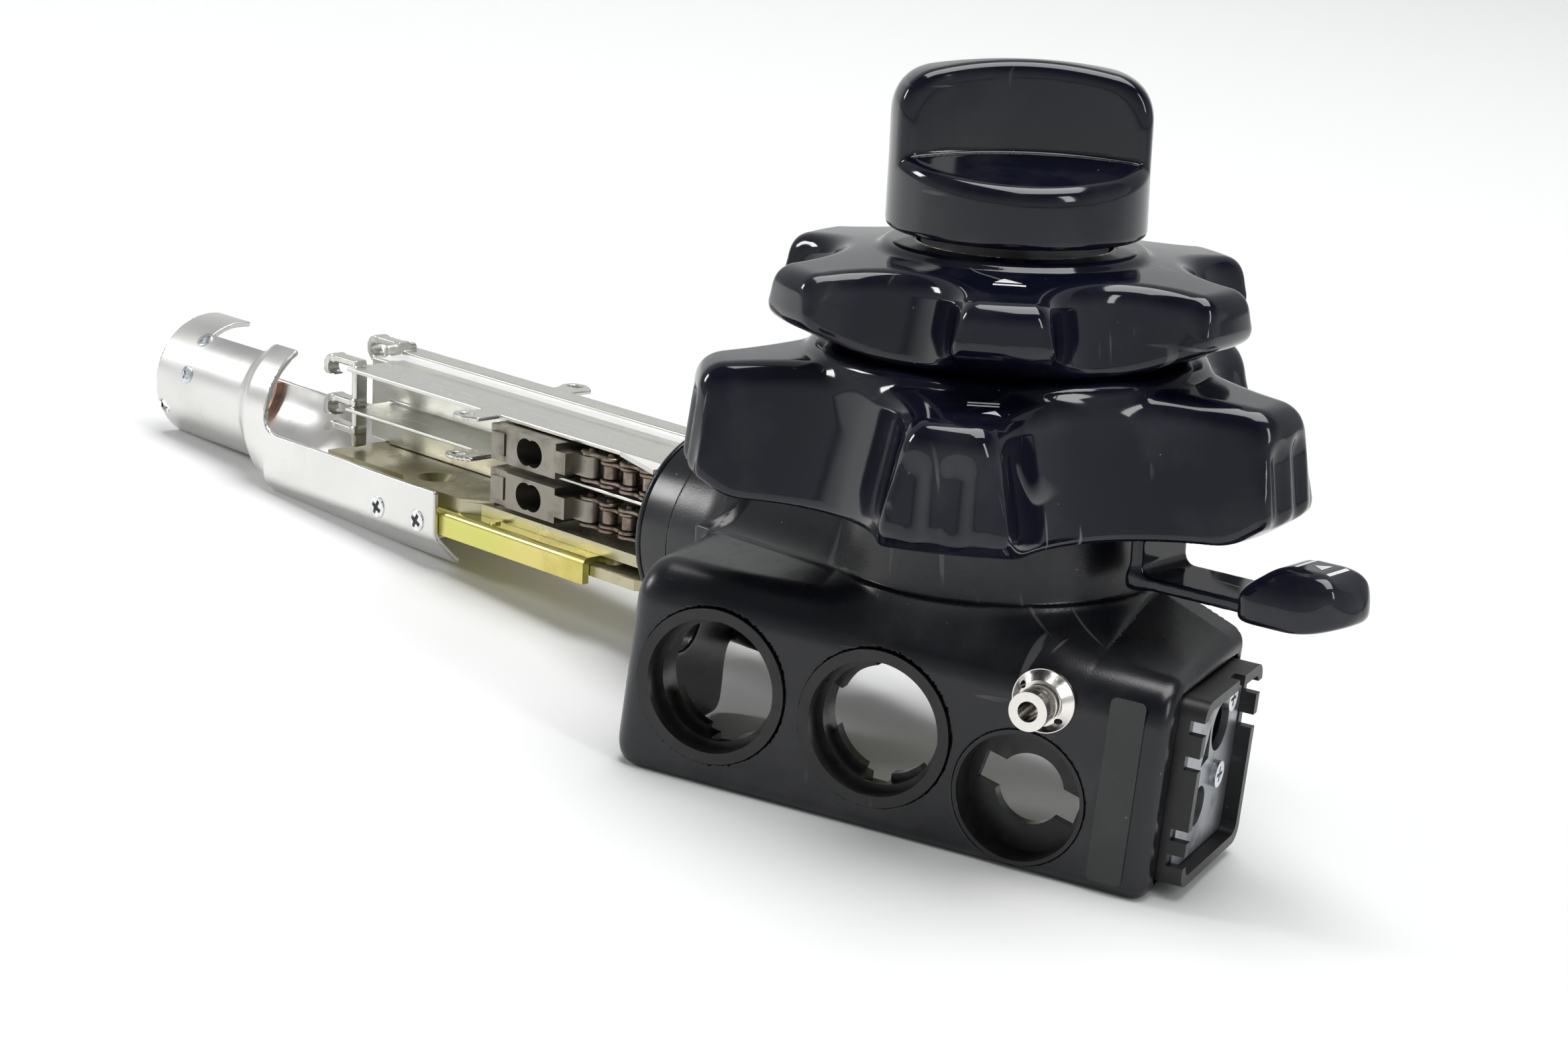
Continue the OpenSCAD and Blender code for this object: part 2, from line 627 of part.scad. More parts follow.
// side is -1 for the near run and 1 for the far run
module end_block(z, side) color([0.42, 0.41, 0.38]) translate([0, side * sprocket_r, z]) difference() {
    tongue_x = -55.6;
    near = side < 0 ? sprocket_r - block_y : 2.03 - sprocket_r;
    far = near + block_w - 0.05;
    body = 0.35;
    union() {
        translate([block_x + 3, near, -block_h / 2]) cube([tongue_x - block_x - 3, far - near, block_h]);
        translate([block_x, near + body, -block_h / 2]) cube([3.1, far - near - 2 * body, block_h]);
        translate([block_x + 0.5, near, -1.2]) cube([2.1, far - near, 2.4]);
        translate([tongue_x - 0.1, -1.1, -1.1]) cube([pin_x - tongue_x + 0.1, 2.2, 2.2]);
        translate([pin_x, 0, -1.1]) cylinder(r = 1.1, h = 2.2);
    }
    for (x = [-62.2, -60.9]) translate([x, -9, 0]) rotate([-90, 0, 0]) cylinder(r = 1.45, h = 18);
    translate([pin_x, 0, -3]) cylinder(r = 0.5 + slip, h = 6, $fn = 24);
    for (s = [-1, 1]) translate([tongue_x - 1.6, -3, s * 1.6 - 0.45]) cube([3, 6, 0.9]);
}

module chain_run(z, side) color([0.36, 0.31, 0.27]) translate([0, side * sprocket_r, z]) {
    for (s = [-link_half, link_half - link_t]) translate([pin_x - 1, -link_w / 2, s])
        cube([links * chain_pitch + 2, link_w, link_t]);
    translate([pin_x, 0, -link_half]) cylinder(r = 0.5, h = 2 * link_half, $fn = 24);
    for (i = [1 : links]) translate([pin_x + i * chain_pitch, 0, -link_half])
        cylinder(r = roller_r, h = 2 * link_half, $fn = 24);
}

module ud_block_near() end_block(upper_z, -1);
module ud_chain_near() chain_run(upper_z, -1);
module ud_block_far() end_block(upper_z, 1);
module ud_chain_far() chain_run(upper_z, 1);
module rl_block_near() end_block(lower_z, -1);
module rl_chain_near() chain_run(lower_z, -1);
module rl_block_far() end_block(lower_z, 1);
module rl_chain_far() chain_run(lower_z, 1);

control_housing();
neck_seal();
valve_seat_suction();
valve_seat_air_water();
switch_seat();
plug_flange();
plug_stub();
plug_oring();
blank_label();
switch_frame();
switch_mount_plate();
switch_plate_screws();
boss_bush();
shaft_oring();
ud_brake_plate();
centre_post();
post_clip();
base_plate();
base_plate_screws();
angle_bracket();
neck_bridge();
guide_channel_near();
guide_channel_rear();
front_trough();
tube_ring();
tube_screws();
trough_screws();
chain_shield();
ud_shaft();
ud_sprocket();
ud_chain_loop();
ud_knob();
rl_shaft();
rl_sprocket();
rl_chain_loop();
rl_knob();
rl_brake_cap();
rl_brake_disc();
ud_brake_lever();
lever_pad();
ud_block_near();
ud_chain_near();
ud_block_far();
ud_chain_far();
rl_block_near();
rl_chain_near();
rl_block_far();
rl_chain_far();
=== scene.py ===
import bpy
import math
import numpy as np
from mathutils import Matrix, Vector


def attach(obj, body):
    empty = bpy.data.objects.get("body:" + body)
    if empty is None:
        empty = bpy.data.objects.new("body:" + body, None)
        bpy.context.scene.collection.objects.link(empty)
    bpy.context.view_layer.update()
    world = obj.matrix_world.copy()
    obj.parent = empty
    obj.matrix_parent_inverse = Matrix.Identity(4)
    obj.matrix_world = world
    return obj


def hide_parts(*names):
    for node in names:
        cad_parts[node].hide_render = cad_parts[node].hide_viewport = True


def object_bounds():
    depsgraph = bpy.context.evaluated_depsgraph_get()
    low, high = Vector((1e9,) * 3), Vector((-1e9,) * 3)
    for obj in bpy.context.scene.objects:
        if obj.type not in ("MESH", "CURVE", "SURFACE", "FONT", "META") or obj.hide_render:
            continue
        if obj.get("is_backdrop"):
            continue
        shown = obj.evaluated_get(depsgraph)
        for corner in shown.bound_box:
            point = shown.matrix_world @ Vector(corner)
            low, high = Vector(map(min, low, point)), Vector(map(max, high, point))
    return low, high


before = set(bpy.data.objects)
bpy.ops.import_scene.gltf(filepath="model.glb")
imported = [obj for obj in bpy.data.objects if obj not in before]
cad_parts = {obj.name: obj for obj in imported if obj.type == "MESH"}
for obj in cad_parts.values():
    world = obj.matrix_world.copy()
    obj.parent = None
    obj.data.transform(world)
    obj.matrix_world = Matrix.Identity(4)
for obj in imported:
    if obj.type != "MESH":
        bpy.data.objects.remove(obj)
start_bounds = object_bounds()
MM = 0.001
rad = math.radians

# ---------------------------------------------------------------- materials


def node(tree, kind, **values):
    """A shader node with its inputs, or failing that its settings, filled in."""
    n = tree.nodes.new(kind)
    for key, value in values.items():
        if key in n.inputs:
            n.inputs[key].default_value = value
        else:
            setattr(n, key, value)
    return n


def ramp(tree, source, low, high, a=0.0, b=1.0):
    """Maps source from low..high onto a..b."""
    n = node(tree, "ShaderNodeMapRange", clamp=True)
    tree.links.new(source, n.inputs["Value"])
    for key, v in (("From Min", low), ("From Max", high), ("To Min", a), ("To Max", b)):
        n.inputs[key].default_value = v
    return n.outputs["Result"]


def math_node(tree, op, a, b):
    """The result of op on two numbers or outputs."""
    n = node(tree, "ShaderNodeMath", operation=op)
    for i, v in enumerate((a, b)):
        if isinstance(v, (int, float)):
            n.inputs[i].default_value = v
        else:
            tree.links.new(v, n.inputs[i])
    return n.outputs[0]


def mix_color(tree, factor, a, b):
    """Blends colour a into b by factor."""
    n = tree.nodes.new("ShaderNodeMix")
    n.data_type = "RGBA"
    for socket, v in ((n.inputs[0], factor), (n.inputs[6], a), (n.inputs[7], b)):
        if isinstance(v, (int, float)):
            socket.default_value = v
        elif isinstance(v, tuple):
            socket.default_value = (*v, 1.0)
        else:
            tree.links.new(v, socket)
    return n.outputs[2]


def noise(tree, coords, scale, detail=3.0, stretch=None):
    """A noise value over the object's own coordinates, stretched along the axes if asked."""
    n = node(tree, "ShaderNodeTexNoise", Scale=scale, Detail=detail, Roughness=0.55)
    if stretch:
        mapping = tree.nodes.new("ShaderNodeMapping")
        mapping.inputs["Scale"].default_value = stretch
        tree.links.new(coords, mapping.inputs["Vector"])
        coords = mapping.outputs[0]
    tree.links.new(coords, n.inputs["Vector"])
    return n.outputs["Fac"]


def dust_amount(tree, coords, dust):
    """Small specks in patches, over a thin uneven film."""
    cells = node(tree, "ShaderNodeTexVoronoi", Scale=900.0)
    tree.links.new(coords, cells.inputs["Vector"])
    speck = ramp(tree, cells.outputs["Distance"], 0.10, 0.06)
    where = ramp(tree, noise(tree, coords, 350.0, 2.0), 0.60, 0.66)
    film = ramp(tree, noise(tree, coords, 120.0, 6.0), 0.5, 0.75, 0.0, 0.06 * dust)
    specks = math_node(tree, "MULTIPLY", math_node(tree, "MULTIPLY", speck, where), 0.55 * dust)
    return math_node(tree, "ADD", specks, film)


# Stretch and turn of the three sets of hair scratches
SCRATCH_SETS = (((60.0, 900.0, 60.0), 0.6), ((900.0, 70.0, 90.0), 1.9), ((90.0, 80.0, 1000.0), 0.9))


def scratch_amount(tree, coords, scratch):
    """Fine lines in three directions, in patches."""
    total = None
    for i, (stretch, turn) in enumerate(SCRATCH_SETS):
        mapping = tree.nodes.new("ShaderNodeMapping")
        mapping.inputs["Scale"].default_value = stretch
        mapping.inputs["Rotation"].default_value = (turn, turn * 0.7 + i, turn * 1.3)
        tree.links.new(coords, mapping.inputs["Vector"])
        n = node(tree, "ShaderNodeTexNoise", Scale=1.0, Detail=1.0)
        tree.links.new(mapping.outputs[0], n.inputs["Vector"])
        line = ramp(tree, n.outputs["Fac"], 0.715, 0.74)
        total = math_node(tree, "MAXIMUM", total, line) if total else line
    where = ramp(tree, noise(tree, coords, 90.0, 2.0), 0.52, 0.62)
    return math_node(tree, "MULTIPLY", math_node(tree, "MULTIPLY", total, where), scratch)


DUST_COLOR = (0.55, 0.55, 0.53)
SCRATCH_COLOR = (0.4, 0.4, 0.4)


def material(name, color, rough, metal=0.0, tint=None, mottle=0.0, mottle_scale=60.0, dust=0.0, scratch=0.0,
             brush=None, grain=0.0, grain_scale=2500.0, rough_var=0.06, grime=None):
    """A procedural finish. brush is (stretch, scale, depth) and grime is (colour, scale, amount)."""
    m = bpy.data.materials.new(name)
    m.use_nodes = True
    t = m.node_tree
    shader = t.nodes["Principled BSDF"]
    coords = t.nodes.new("ShaderNodeTexCoord").outputs["Object"]
    other = tint or tuple(min(1.0, c * 1.6 + 0.004) for c in color)
    blotches = ramp(t, noise(t, coords, mottle_scale), 0.35, 0.7, 0.0, max(mottle, 0.12))
    col = mix_color(t, blotches, tuple(color), other)
    uneven = noise(t, coords, mottle_scale * 2.3, 4.0)
    roughness = ramp(t, uneven, 0.3, 0.7, rough - rough_var, rough + rough_var)
    height = None
    if grime:
        grime_color, scale, amount = grime
        spots = ramp(t, noise(t, coords, scale, 5.0), 0.5, 0.68)
        col = mix_color(t, math_node(t, "MULTIPLY", spots, amount), col, grime_color)
        roughness = math_node(t, "ADD", roughness, math_node(t, "MULTIPLY", spots, 0.18))
    if brush:
        stretch, scale, depth = brush
        lines = noise(t, coords, scale, 2.0, stretch)
        roughness = math_node(t, "ADD", roughness, ramp(t, lines, 0.3, 0.7, -0.07, 0.09))
        height = math_node(t, "MULTIPLY", lines, depth)
    if grain:
        grains = math_node(t, "MULTIPLY", noise(t, coords, grain_scale, 2.0), grain)
        height = math_node(t, "ADD", height, grains) if height else grains
    if dust:
        amount = dust_amount(t, coords, dust)
        col = mix_color(t, amount, col, DUST_COLOR)
        roughness = math_node(t, "ADD", roughness, math_node(t, "MULTIPLY", amount, 0.6))
    if scratch:
        amount = scratch_amount(t, coords, scratch)
        col = mix_color(t, math_node(t, "MULTIPLY", amount, 0.5), col, SCRATCH_COLOR)
        roughness = math_node(t, "ADD", roughness, math_node(t, "MULTIPLY", amount, 0.4))
    t.links.new(col, shader.inputs["Base Color"])
    t.links.new(roughness, shader.inputs["Roughness"])
    shader.inputs["Metallic"].default_value = metal
    if height:
        bump = node(t, "ShaderNodeBump", Strength=1.0, Distance=0.00002)
        t.links.new(height, bump.inputs["Height"])
        t.links.new(bump.outputs[0], shader.inputs["Normal"])
    return m


KNOB = material("polished_black", (0.0035, 0.0042, 0.011), 0.08, dust=0.5, scratch=0.55, mottle=0.2,
                rough_var=0.025, grain=0.04, grain_scale=500.0)
SATIN = material("satin_black", (0.0055, 0.006, 0.009), 0.27, dust=0.6, scratch=0.35, mottle=0.25,
                 rough_var=0.05, grain=0.5, grain_scale=5000.0)
MATT = material("matt_black", (0.008, 0.008, 0.009), 0.42, dust=0.4, scratch=0.2, mottle=0.3, grain=0.6,
                grain_scale=4000.0)
BAND = material("neck_black", (0.007, 0.0075, 0.010), 0.24, dust=0.4, scratch=0.3, rough_var=0.05,
                grain=0.2)
SEAT = material("anodised_black", (0.0050, 0.0052, 0.0060), 0.30, dust=0.4, scratch=0.5, mottle=0.2,
                rough_var=0.05, grime=((0.07, 0.065, 0.06), 700.0, 0.06))
RUBBER = material("seal_rubber", (0.012, 0.012, 0.013), 0.55, dust=0.6, mottle=0.3, grain=0.8)
LABEL = material("label_film", (0.020, 0.021, 0.022), 0.30, dust=0.5, scratch=0.4, mottle=0.2, grain=0.1)
BRIGHT = material("bright_steel", (0.80, 0.77, 0.72), 0.16, 1.0, mottle=0.2, dust=0.2, scratch=0.3,
                  brush=((30.0, 30.0, 30.0), 50.0, 0.3))
STEEL = material("turned_steel", (0.55, 0.54, 0.52), 0.28, 1.0, mottle=0.3,
                 brush=((20.0, 20.0, 900.0), 2.0, 0.5))
SCREW = material("screw_steel", (0.62, 0.66, 0.70), 0.25, 1.0, mottle=0.4, grain=0.3,
                 grime=((0.18, 0.2, 0.22), 900.0, 0.4))
WHITE_SCREW = material("bright_screw", (0.86, 0.87, 0.88), 0.22, 0.9, mottle=0.2, grain=0.2,
                       grime=((0.25, 0.26, 0.28), 900.0, 0.25))
BRASS = material("bush_brass", (0.62, 0.44, 0.18), 0.28, 1.0, mottle=0.3,
                 brush=((20.0, 20.0, 900.0), 2.0, 0.5))
GREY = material("plate_grey", (0.30, 0.31, 0.33), 0.36, 0.9, mottle=0.5, dust=0.5, scratch=0.5, grain=0.3,
                grime=((0.10, 0.11, 0.13), 300.0, 0.5))
GOLD = material("yellow_chromate", (0.62, 0.64, 0.16), 0.22, 0.85, tint=(0.80, 0.60, 0.26), mottle=0.8,
                mottle_scale=60.0, scratch=0.3, grain=0.1, grime=((0.55, 0.36, 0.08), 130.0, 0.55))
NICKEL = material("dull_nickel", (0.50, 0.47, 0.33), 0.30, 0.85, tint=(0.60, 0.54, 0.32), mottle=0.6,
                  mottle_scale=110.0, scratch=0.2, grain=0.15, grime=((0.40, 0.32, 0.16), 200.0, 0.4))
RAIL = material("rail_steel", (0.70, 0.70, 0.66), 0.28, 0.95, tint=(0.74, 0.73, 0.65), mottle=0.4,
                mottle_scale=50.0, scratch=0.2, brush=((8.0, 700.0, 700.0), 1.0, 0.06),
                grime=((0.55, 0.52, 0.42), 160.0, 0.2))
TUBE = material("satin_aluminium", (0.74, 0.735, 0.715), 0.30, 0.95, mottle=0.2, mottle_scale=40.0,
                scratch=0.2, grain=0.25, grain_scale=1800.0, grime=((0.66, 0.62, 0.60), 70.0, 0.2))
COPPER = material("copper_ring", (0.42, 0.25, 0.19), 0.35, 0.9, mottle=0.6, grain=0.3,
                  grime=((0.06, 0.05, 0.05), 300.0, 0.6))
CHAIN = material("chain_steel", (0.20, 0.155, 0.125), 0.30, 0.95, tint=(0.36, 0.30, 0.25), mottle=0.9,
                 mottle_scale=420.0, grain=0.4, grime=((0.07, 0.035, 0.02), 700.0, 0.7))
BLOCK = material("block_steel", (0.27, 0.25, 0.215), 0.34, 0.95, tint=(0.34, 0.32, 0.27), mottle=0.6,
                 mottle_scale=200.0, scratch=0.3, grain=0.2, grime=((0.09, 0.065, 0.045), 350.0, 0.45))
NYLON = material("white_nylon", (0.80, 0.79, 0.75), 0.4, dust=0.3, mottle=0.3, grain=0.3,
                 grime=((0.55, 0.5, 0.4), 250.0, 0.3))
STRIP = material("polished_strip", (0.88, 0.89, 0.87), 0.35, 0.35, mottle=0.2, mottle_scale=40.0, grain=0.1,
                 grime=((0.74, 0.74, 0.70), 120.0, 0.15))
PRINT = material("white_print", (0.80, 0.80, 0.80), 0.35, mottle=0.3, mottle_scale=900.0, grain=0.4,
                 grime=((0.35, 0.35, 0.36), 900.0, 0.4))

# ---------------------------------------------------------------- meshes


def piece(name, verts, faces, mat, body, nodes=(), normals=None):
    """A mesh piece from points in millimetres. faces is an array of quads, or a list of polygons."""
    mesh = bpy.data.meshes.new(name)
    v = np.asarray(verts, float) * MM
    if isinstance(faces, np.ndarray) and faces.ndim == 2:
        count, k = faces.shape
        loops = faces.ravel()
        starts = np.arange(count) * k
    else:
        loops = np.concatenate([np.asarray(f) for f in faces])
        lens = np.array([len(f) for f in faces])
        starts = np.concatenate([[0], np.cumsum(lens)[:-1]])
        count = len(faces)
    mesh.vertices.add(len(v))
    mesh.vertices.foreach_set("co", v.ravel().astype(np.float32))
    mesh.loops.add(len(loops))
    mesh.loops.foreach_set("vertex_index", loops.astype(np.int32))
    mesh.polygons.add(count)
    mesh.polygons.foreach_set("loop_start", starts.astype(np.int32))
    mesh.update(calc_edges=True)
    mesh.validate()
    mesh.polygons.foreach_set("use_smooth", np.full(len(mesh.polygons), True))
    if normals is not None and len(normals) == len(mesh.vertices):
        mesh.normals_split_custom_set_from_vertices(normals.tolist())
    mesh.materials.append(mat)
    o = bpy.data.objects.new(name, mesh)
    bpy.context.scene.collection.objects.link(o)
    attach(o, body)
    if nodes:
        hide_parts(*nodes)
    return o


def bevel(o, width):
    """Rounds the sharp edges of a CAD part by this many millimetres."""
    m = o.modifiers.new("edges", "BEVEL")
    m.width = width * MM
    m.segments = 2
    m.limit_method = "ANGLE"
    m.angle_limit = rad(35)
    m.harden_normals = False
    w = o.modifiers.new("normals", "WEIGHTED_NORMAL")
    w.keep_sharp = False


CORNERS = [(i, j, k) for i in (0, 1) for j in (0, 1) for k in (0, 1)]
EDGES = [(a, b) for a in CORNERS for b in CORNERS
         if sum(b) - sum(a) == 1 and all(p <= q for p, q in zip(a, b))]


def gradient(f, p, e):
    """Slope of f at the points p, from steps of e to both sides."""
    g = np.empty_like(p)
    for i in range(3):
        d = np.zeros(3)
        d[i] = e
        a, b = p + d, p - d
        g[:, i] = f(a[:, 0], a[:, 1], a[:, 2]) - f(b[:, 0], b[:, 1], b[:, 2])
    return g / (2 * e)


def surface(f, lo, hi, h):
    """Surface nets of f = 0 in the box, each point then moved onto the surface."""
    axes = [np.arange(lo[i] - 2 * h, hi[i] + 3 * h, h) for i in range(3)]
    values = np.empty([len(a) for a in axes])
    gy, gz = np.meshgrid(axes[1], axes[2], indexing="ij")
    layers = max(1, int(300000 / gy.size))
    for i in range(0, len(axes[0]), layers):
        xs = axes[0][i:i + layers]
        shape = (len(xs), *gy.shape)
        grids = [np.broadcast_to(g, shape) for g in (xs[:, None, None], gy, gz)]
        values[i:i + layers] = f(*grids)
    inside = values < 0
    nx, ny, nz = (n - 1 for n in inside.shape)
    total = sum(inside[i:i + nx, j:j + ny, k:k + nz].astype(np.int8) for i, j, k in CORNERS)
    active = (total > 0) & (total < 8)
    cells = np.argwhere(active)
    index = np.full(active.shape, -1)
    index[active] = np.arange(len(cells))
    at, weight = np.zeros((len(cells), 3)), np.zeros(len(cells))
    for a, b in EDGES:
        a, b = np.array(a), np.array(b)
        va = values[tuple((cells + a).T)]
        vb = values[tuple((cells + b).T)]
        cross = (va < 0) != (vb < 0)
        t = np.where(cross, va / np.where(cross, va - vb, 1.0), 0.0)
        at[cross] += (a + t[:, None] * (b - a))[cross]
        weight[cross] += 1
    p = (cells + at / weight[:, None]) * h + np.array([a[0] for a in axes])
    home = p.copy()
    for _ in range(3):
        d = f(p[:, 0], p[:, 1], p[:, 2])
        g = gradient(f, p, 0.1 * h)
        p = p - (d / np.maximum((g * g).sum(1), 0.2))[:, None] * g
        p = home + np.clip(p - home, -0.5 * h, 0.5 * h)
    faces = []
    for axis in range(3):
        o1, o2 = [i for i in range(3) if i != axis]
        low = [slice(1, -1)] * 3
        low[axis] = slice(0, -1)
        high = list(low)
        high[axis] = slice(1, None)
        a, b = inside[tuple(low)], inside[tuple(high)]
        for sign, where in ((1, a & ~b), (-1, b & ~a)):
            g = np.argwhere(where)
            if not len(g):
                continue
            g[:, o1] += 1
            g[:, o2] += 1
            quad = []
            for d1, d2 in ((1, 1), (0, 1), (0, 0), (1, 0)):
                c = g.copy()
                c[:, o1] -= d1
                c[:, o2] -= d2
                quad.append(index[tuple(c.T)])
            quad = np.stack(quad, 1)
            flip = (sign > 0) == (axis != 1)
            faces.append(quad if flip else quad[:, ::-1])
    faces = np.concatenate(faces)
    faces = faces[(faces >= 0).all(1)]
    n = gradient(f, p, 0.25 * h)
    n /= np.maximum(np.linalg.norm(n, axis=1), 1e-9)[:, None]
    return p, faces, n


def shaped(name, f, lo, hi, h, mat, body, nodes=()):
    """A mesh piece of the solid where f is negative, made with cells of size h."""
    p, faces, n = surface(f, lo, hi, h)
    return piece(name, p, faces, mat, body, nodes, n)


def smin(a, b, k):
    """The union of two solids with a fillet of about k."""
    t = np.clip(0.5 + 0.5 * (b - a) / k, 0.0, 1.0)
    return b + (a - b) * t - k * t * (1 - t)


def smax(a, b, k):
    """What two solids share, with the edge rounded by about k."""
    return -smin(-a, -b, k)


def box_d(x, y, z, lo, hi, r=0.1):
    """Distance to a box with edges rounded to r."""
    c = [(lo[i] + hi[i]) / 2 for i in range(3)]
    s = [(hi[i] - lo[i]) / 2 - r for i in range(3)]
    q = [np.abs(v - c[i]) - s[i] for i, v in enumerate((x, y, z))]
    out = np.sqrt(sum(np.maximum(a, 0) ** 2 for a in q))
    return out + np.minimum(np.maximum(np.maximum(q[0], q[1]), q[2]), 0) - r


def outline_d(x, y, lo, hi, depth, r):
    """Distance to an upright bar with this outline; inside it, never more than depth."""
    return box_d(x, y, np.zeros_like(x), (*lo, -depth), (*hi, depth), r)


def smooth_step(t):
    """Eases from 0 to 1 as t does."""
    t = np.clip(t, 0, 1)
    return t * t * (3 - 2 * t)


# ---------------------------------------------------------------- knobs

# Angle of the first lobe, heights of the underside and of the top at the hub, radii of the tips and hub
UD_PHASE, UD_LOW, UD_HIGH, UD_TIP, UD_HUB = rad(-55.5), 12.9, 25.75, 29.9, 18.4
RL_PHASE, RL_LOW, RL_HIGH, RL_TIP, RL_HUB = rad(-47.25), 26.9, 35.5, 23.2, 12.0
# Radii of the bores for the two shafts and the centre post
UD_SHAFT, RL_SHAFT, POST = 3.12, 2.12, 1.25


def folded(x, y, phase, count):
    """Distance from the axis, and the position along and across the nearest lobe."""
    step = 2 * math.pi / count
    a = (np.arctan2(y, x) - phase + step / 2) % step - step / 2
    r = np.hypot(x, y)
    return r, r * np.cos(a), r * np.sin(a)


def scallop(along, across, reach, half_step, radius):
    """Distance to the round cut between two lobes."""
    middle = (reach * math.cos(half_step), reach * math.sin(half_step))
    return np.hypot(along - middle[0], np.abs(across) - middle[1]) - radius


def ud_knob(x, y, z):
    """The large knob: a drum with a tapered rim, five round scallops and three flutes on each lobe."""
    r, along, across = folded(x, y, UD_PHASE, 5)
    # Drum with a falling top and tapered tips, bevelled below
    top = z - (UD_HIGH - 0.105 * (r - UD_HUB))
    tip_at = UD_TIP - 0.125 * (z - 13.4)
    d = smax(top, (r - tip_at) * 0.992, 2.3)
    d = smax(d, 0.584 * (r - 30.3) - 0.811 * (z - 15.6), 0.9)
    d = smax(d, UD_LOW - z, 0.9)
    # Scallops, with a softer edge towards the top
    cut_r = 16.6 - 0.19 * (24.5 - z)
    cut = scallop(along, across, 35.2, rad(36), cut_r)
    low = smax(d, -cut, 1.0)
    high = smax(d, -cut, 2.2)
    d = low + (high - low) * smooth_step((z - 16.5) / 5.0)
    for offset in (-2.9, 1.1, 4.9):
        flute = np.hypot(along - tip_at - 0.62, (across - offset) * 0.9) - 1.35
        d = smax(d, -smax(flute, z - 22.4, 2.2), 0.55)
    hub = smax(r - UD_HUB, np.abs(z - 22) - 4.5, 1.0)
    d = smin(d, hub, 1.0)
    # Recess for the boss, and the bore
    d = smax(d, -smax(r - 14.8, z - 16.5, 0.6), 0.6)
    return smax(d, UD_SHAFT - r, 0.2)


def rl_knob(x, y, z):
    """The small knob: a thin drum with six round scallops and a raised hub."""
    r, along, across = folded(x, y, RL_PHASE, 6)
    top = z - (RL_HIGH - 0.10 * (r - RL_HUB))
    tip = r - RL_TIP + 0.10 * np.abs(z - 31.0)
    under = RL_LOW + 0.46 * np.maximum(r - 16.6, 0) - z
    d = smax(smax(top, tip, 1.9), under, 1.0)
    cut_r = 7.7 + 0.13 * (z - 31.0)
    cut = scallop(along, across, 24.3, rad(30), cut_r)
    low = smax(d, -cut, 0.9)
    high = smax(d, -cut, 1.8)
    d = low + (high - low) * smooth_step((z - 29.0) / 4.0)
    hub = smax(r - RL_HUB - 0.1, np.abs(z - 33) - 3.2, 0.8)
    d = smin(d, hub, 1.0)
    # Recess for the brake disc, and the bore
    d = smax(d, -smax(r - 9.0, 34.4 - z, 0.3), 0.3)
    return smax(d, RL_SHAFT - r, 0.2)


# Direction of the grip across the cap, and the cap's radius, underside, top and the floor beside the grip
GRIP, CAP_R, CAP_LOW, CAP_HIGH, CAP_FLOOR = rad(51), 11.9, 37.4, 52.9, 44.7


def cap(x, y, z):
    """The brake cap: a drum whose two sides are scooped away to leave a grip across it."""
    r = np.hypot(x, y)
    front = x * math.sin(GRIP) - y * math.cos(GRIP)
    side = x * math.cos(GRIP) + y * math.sin(GRIP)
    crown = CAP_HIGH - 0.012 * side * side - 0.012 * front * front
    d = smax(r - CAP_R - 0.012 * np.maximum(44 - z, 0), z - crown, 3.6)
    d = smax(d, CAP_LOW - z, 0.7)
    for s in (1, -1):
        f = s * front
        scoop = 24.0 - np.hypot(f - 25.7, side * 0.97)
        floor = z - (CAP_FLOOR - 0.18 * np.maximum(f - 1.5, 0))
        d = smax(d, -smax(-scoop, -floor, 0.35), 1.5)
    # The blind bore for the centre post ends below the grip
    return smax(d, POST - r - 100 * np.clip(z - 43.5, 0, 1), 0.2)


shaped("ud_knob_body", ud_knob, (-30.5, -30.5, 12.8), (30.5, 30.5, 26.8), 0.36, KNOB, "ud_control",
       ("ud_knob",))
shaped("rl_knob_body", rl_knob, (-23.6, -23.6, 26.6), (23.6, 23.6, 36.5), 0.28, KNOB, "rl_control",
       ("rl_knob",))
shaped("rl_brake_cap_body", cap, (-12.3, -12.3, 37.0), (12.3, 12.3, 53.2), 0.24, KNOB, "rl_brake",
       ("rl_brake_cap",))

# Angle of the lever from +X, half the width of its arm, and the arm's two faces
LEVER, ARM_HALF, ARM_LOW, ARM_HIGH = rad(7), 3.6, 7.9, 9.1


def lever_frame(x, y):
    """Along and across the lever."""
    return x * math.cos(LEVER) + y * math.sin(LEVER), -x * math.sin(LEVER) + y * math.cos(LEVER)


def lever(x, y, z):
    """A washer round the shafts, a step down past the housing and a flat arm."""
    u, v = lever_frame(x, y)
    r = np.hypot(x, y)
    hub = smax(np.maximum(r - 12.6, 4.25 - r), np.abs(z - 12.65) - 0.2, 0.1)
    reach = box_d(u, v, z, (9, -ARM_HALF, 12.45), (18.8, ARM_HALF, 12.75), 0.12)
    step = box_d(u, v, z, (17.4, -ARM_HALF, ARM_LOW), (18.8, ARM_HALF, 12.75), 0.4)
    arm = box_d(u, v, z, (17.4, -ARM_HALF, ARM_LOW), (32.0, ARM_HALF, ARM_HIGH), 0.35)
    return smin(hub, smin(reach, smin(step, arm, 1.2), 0.3), 0.2)


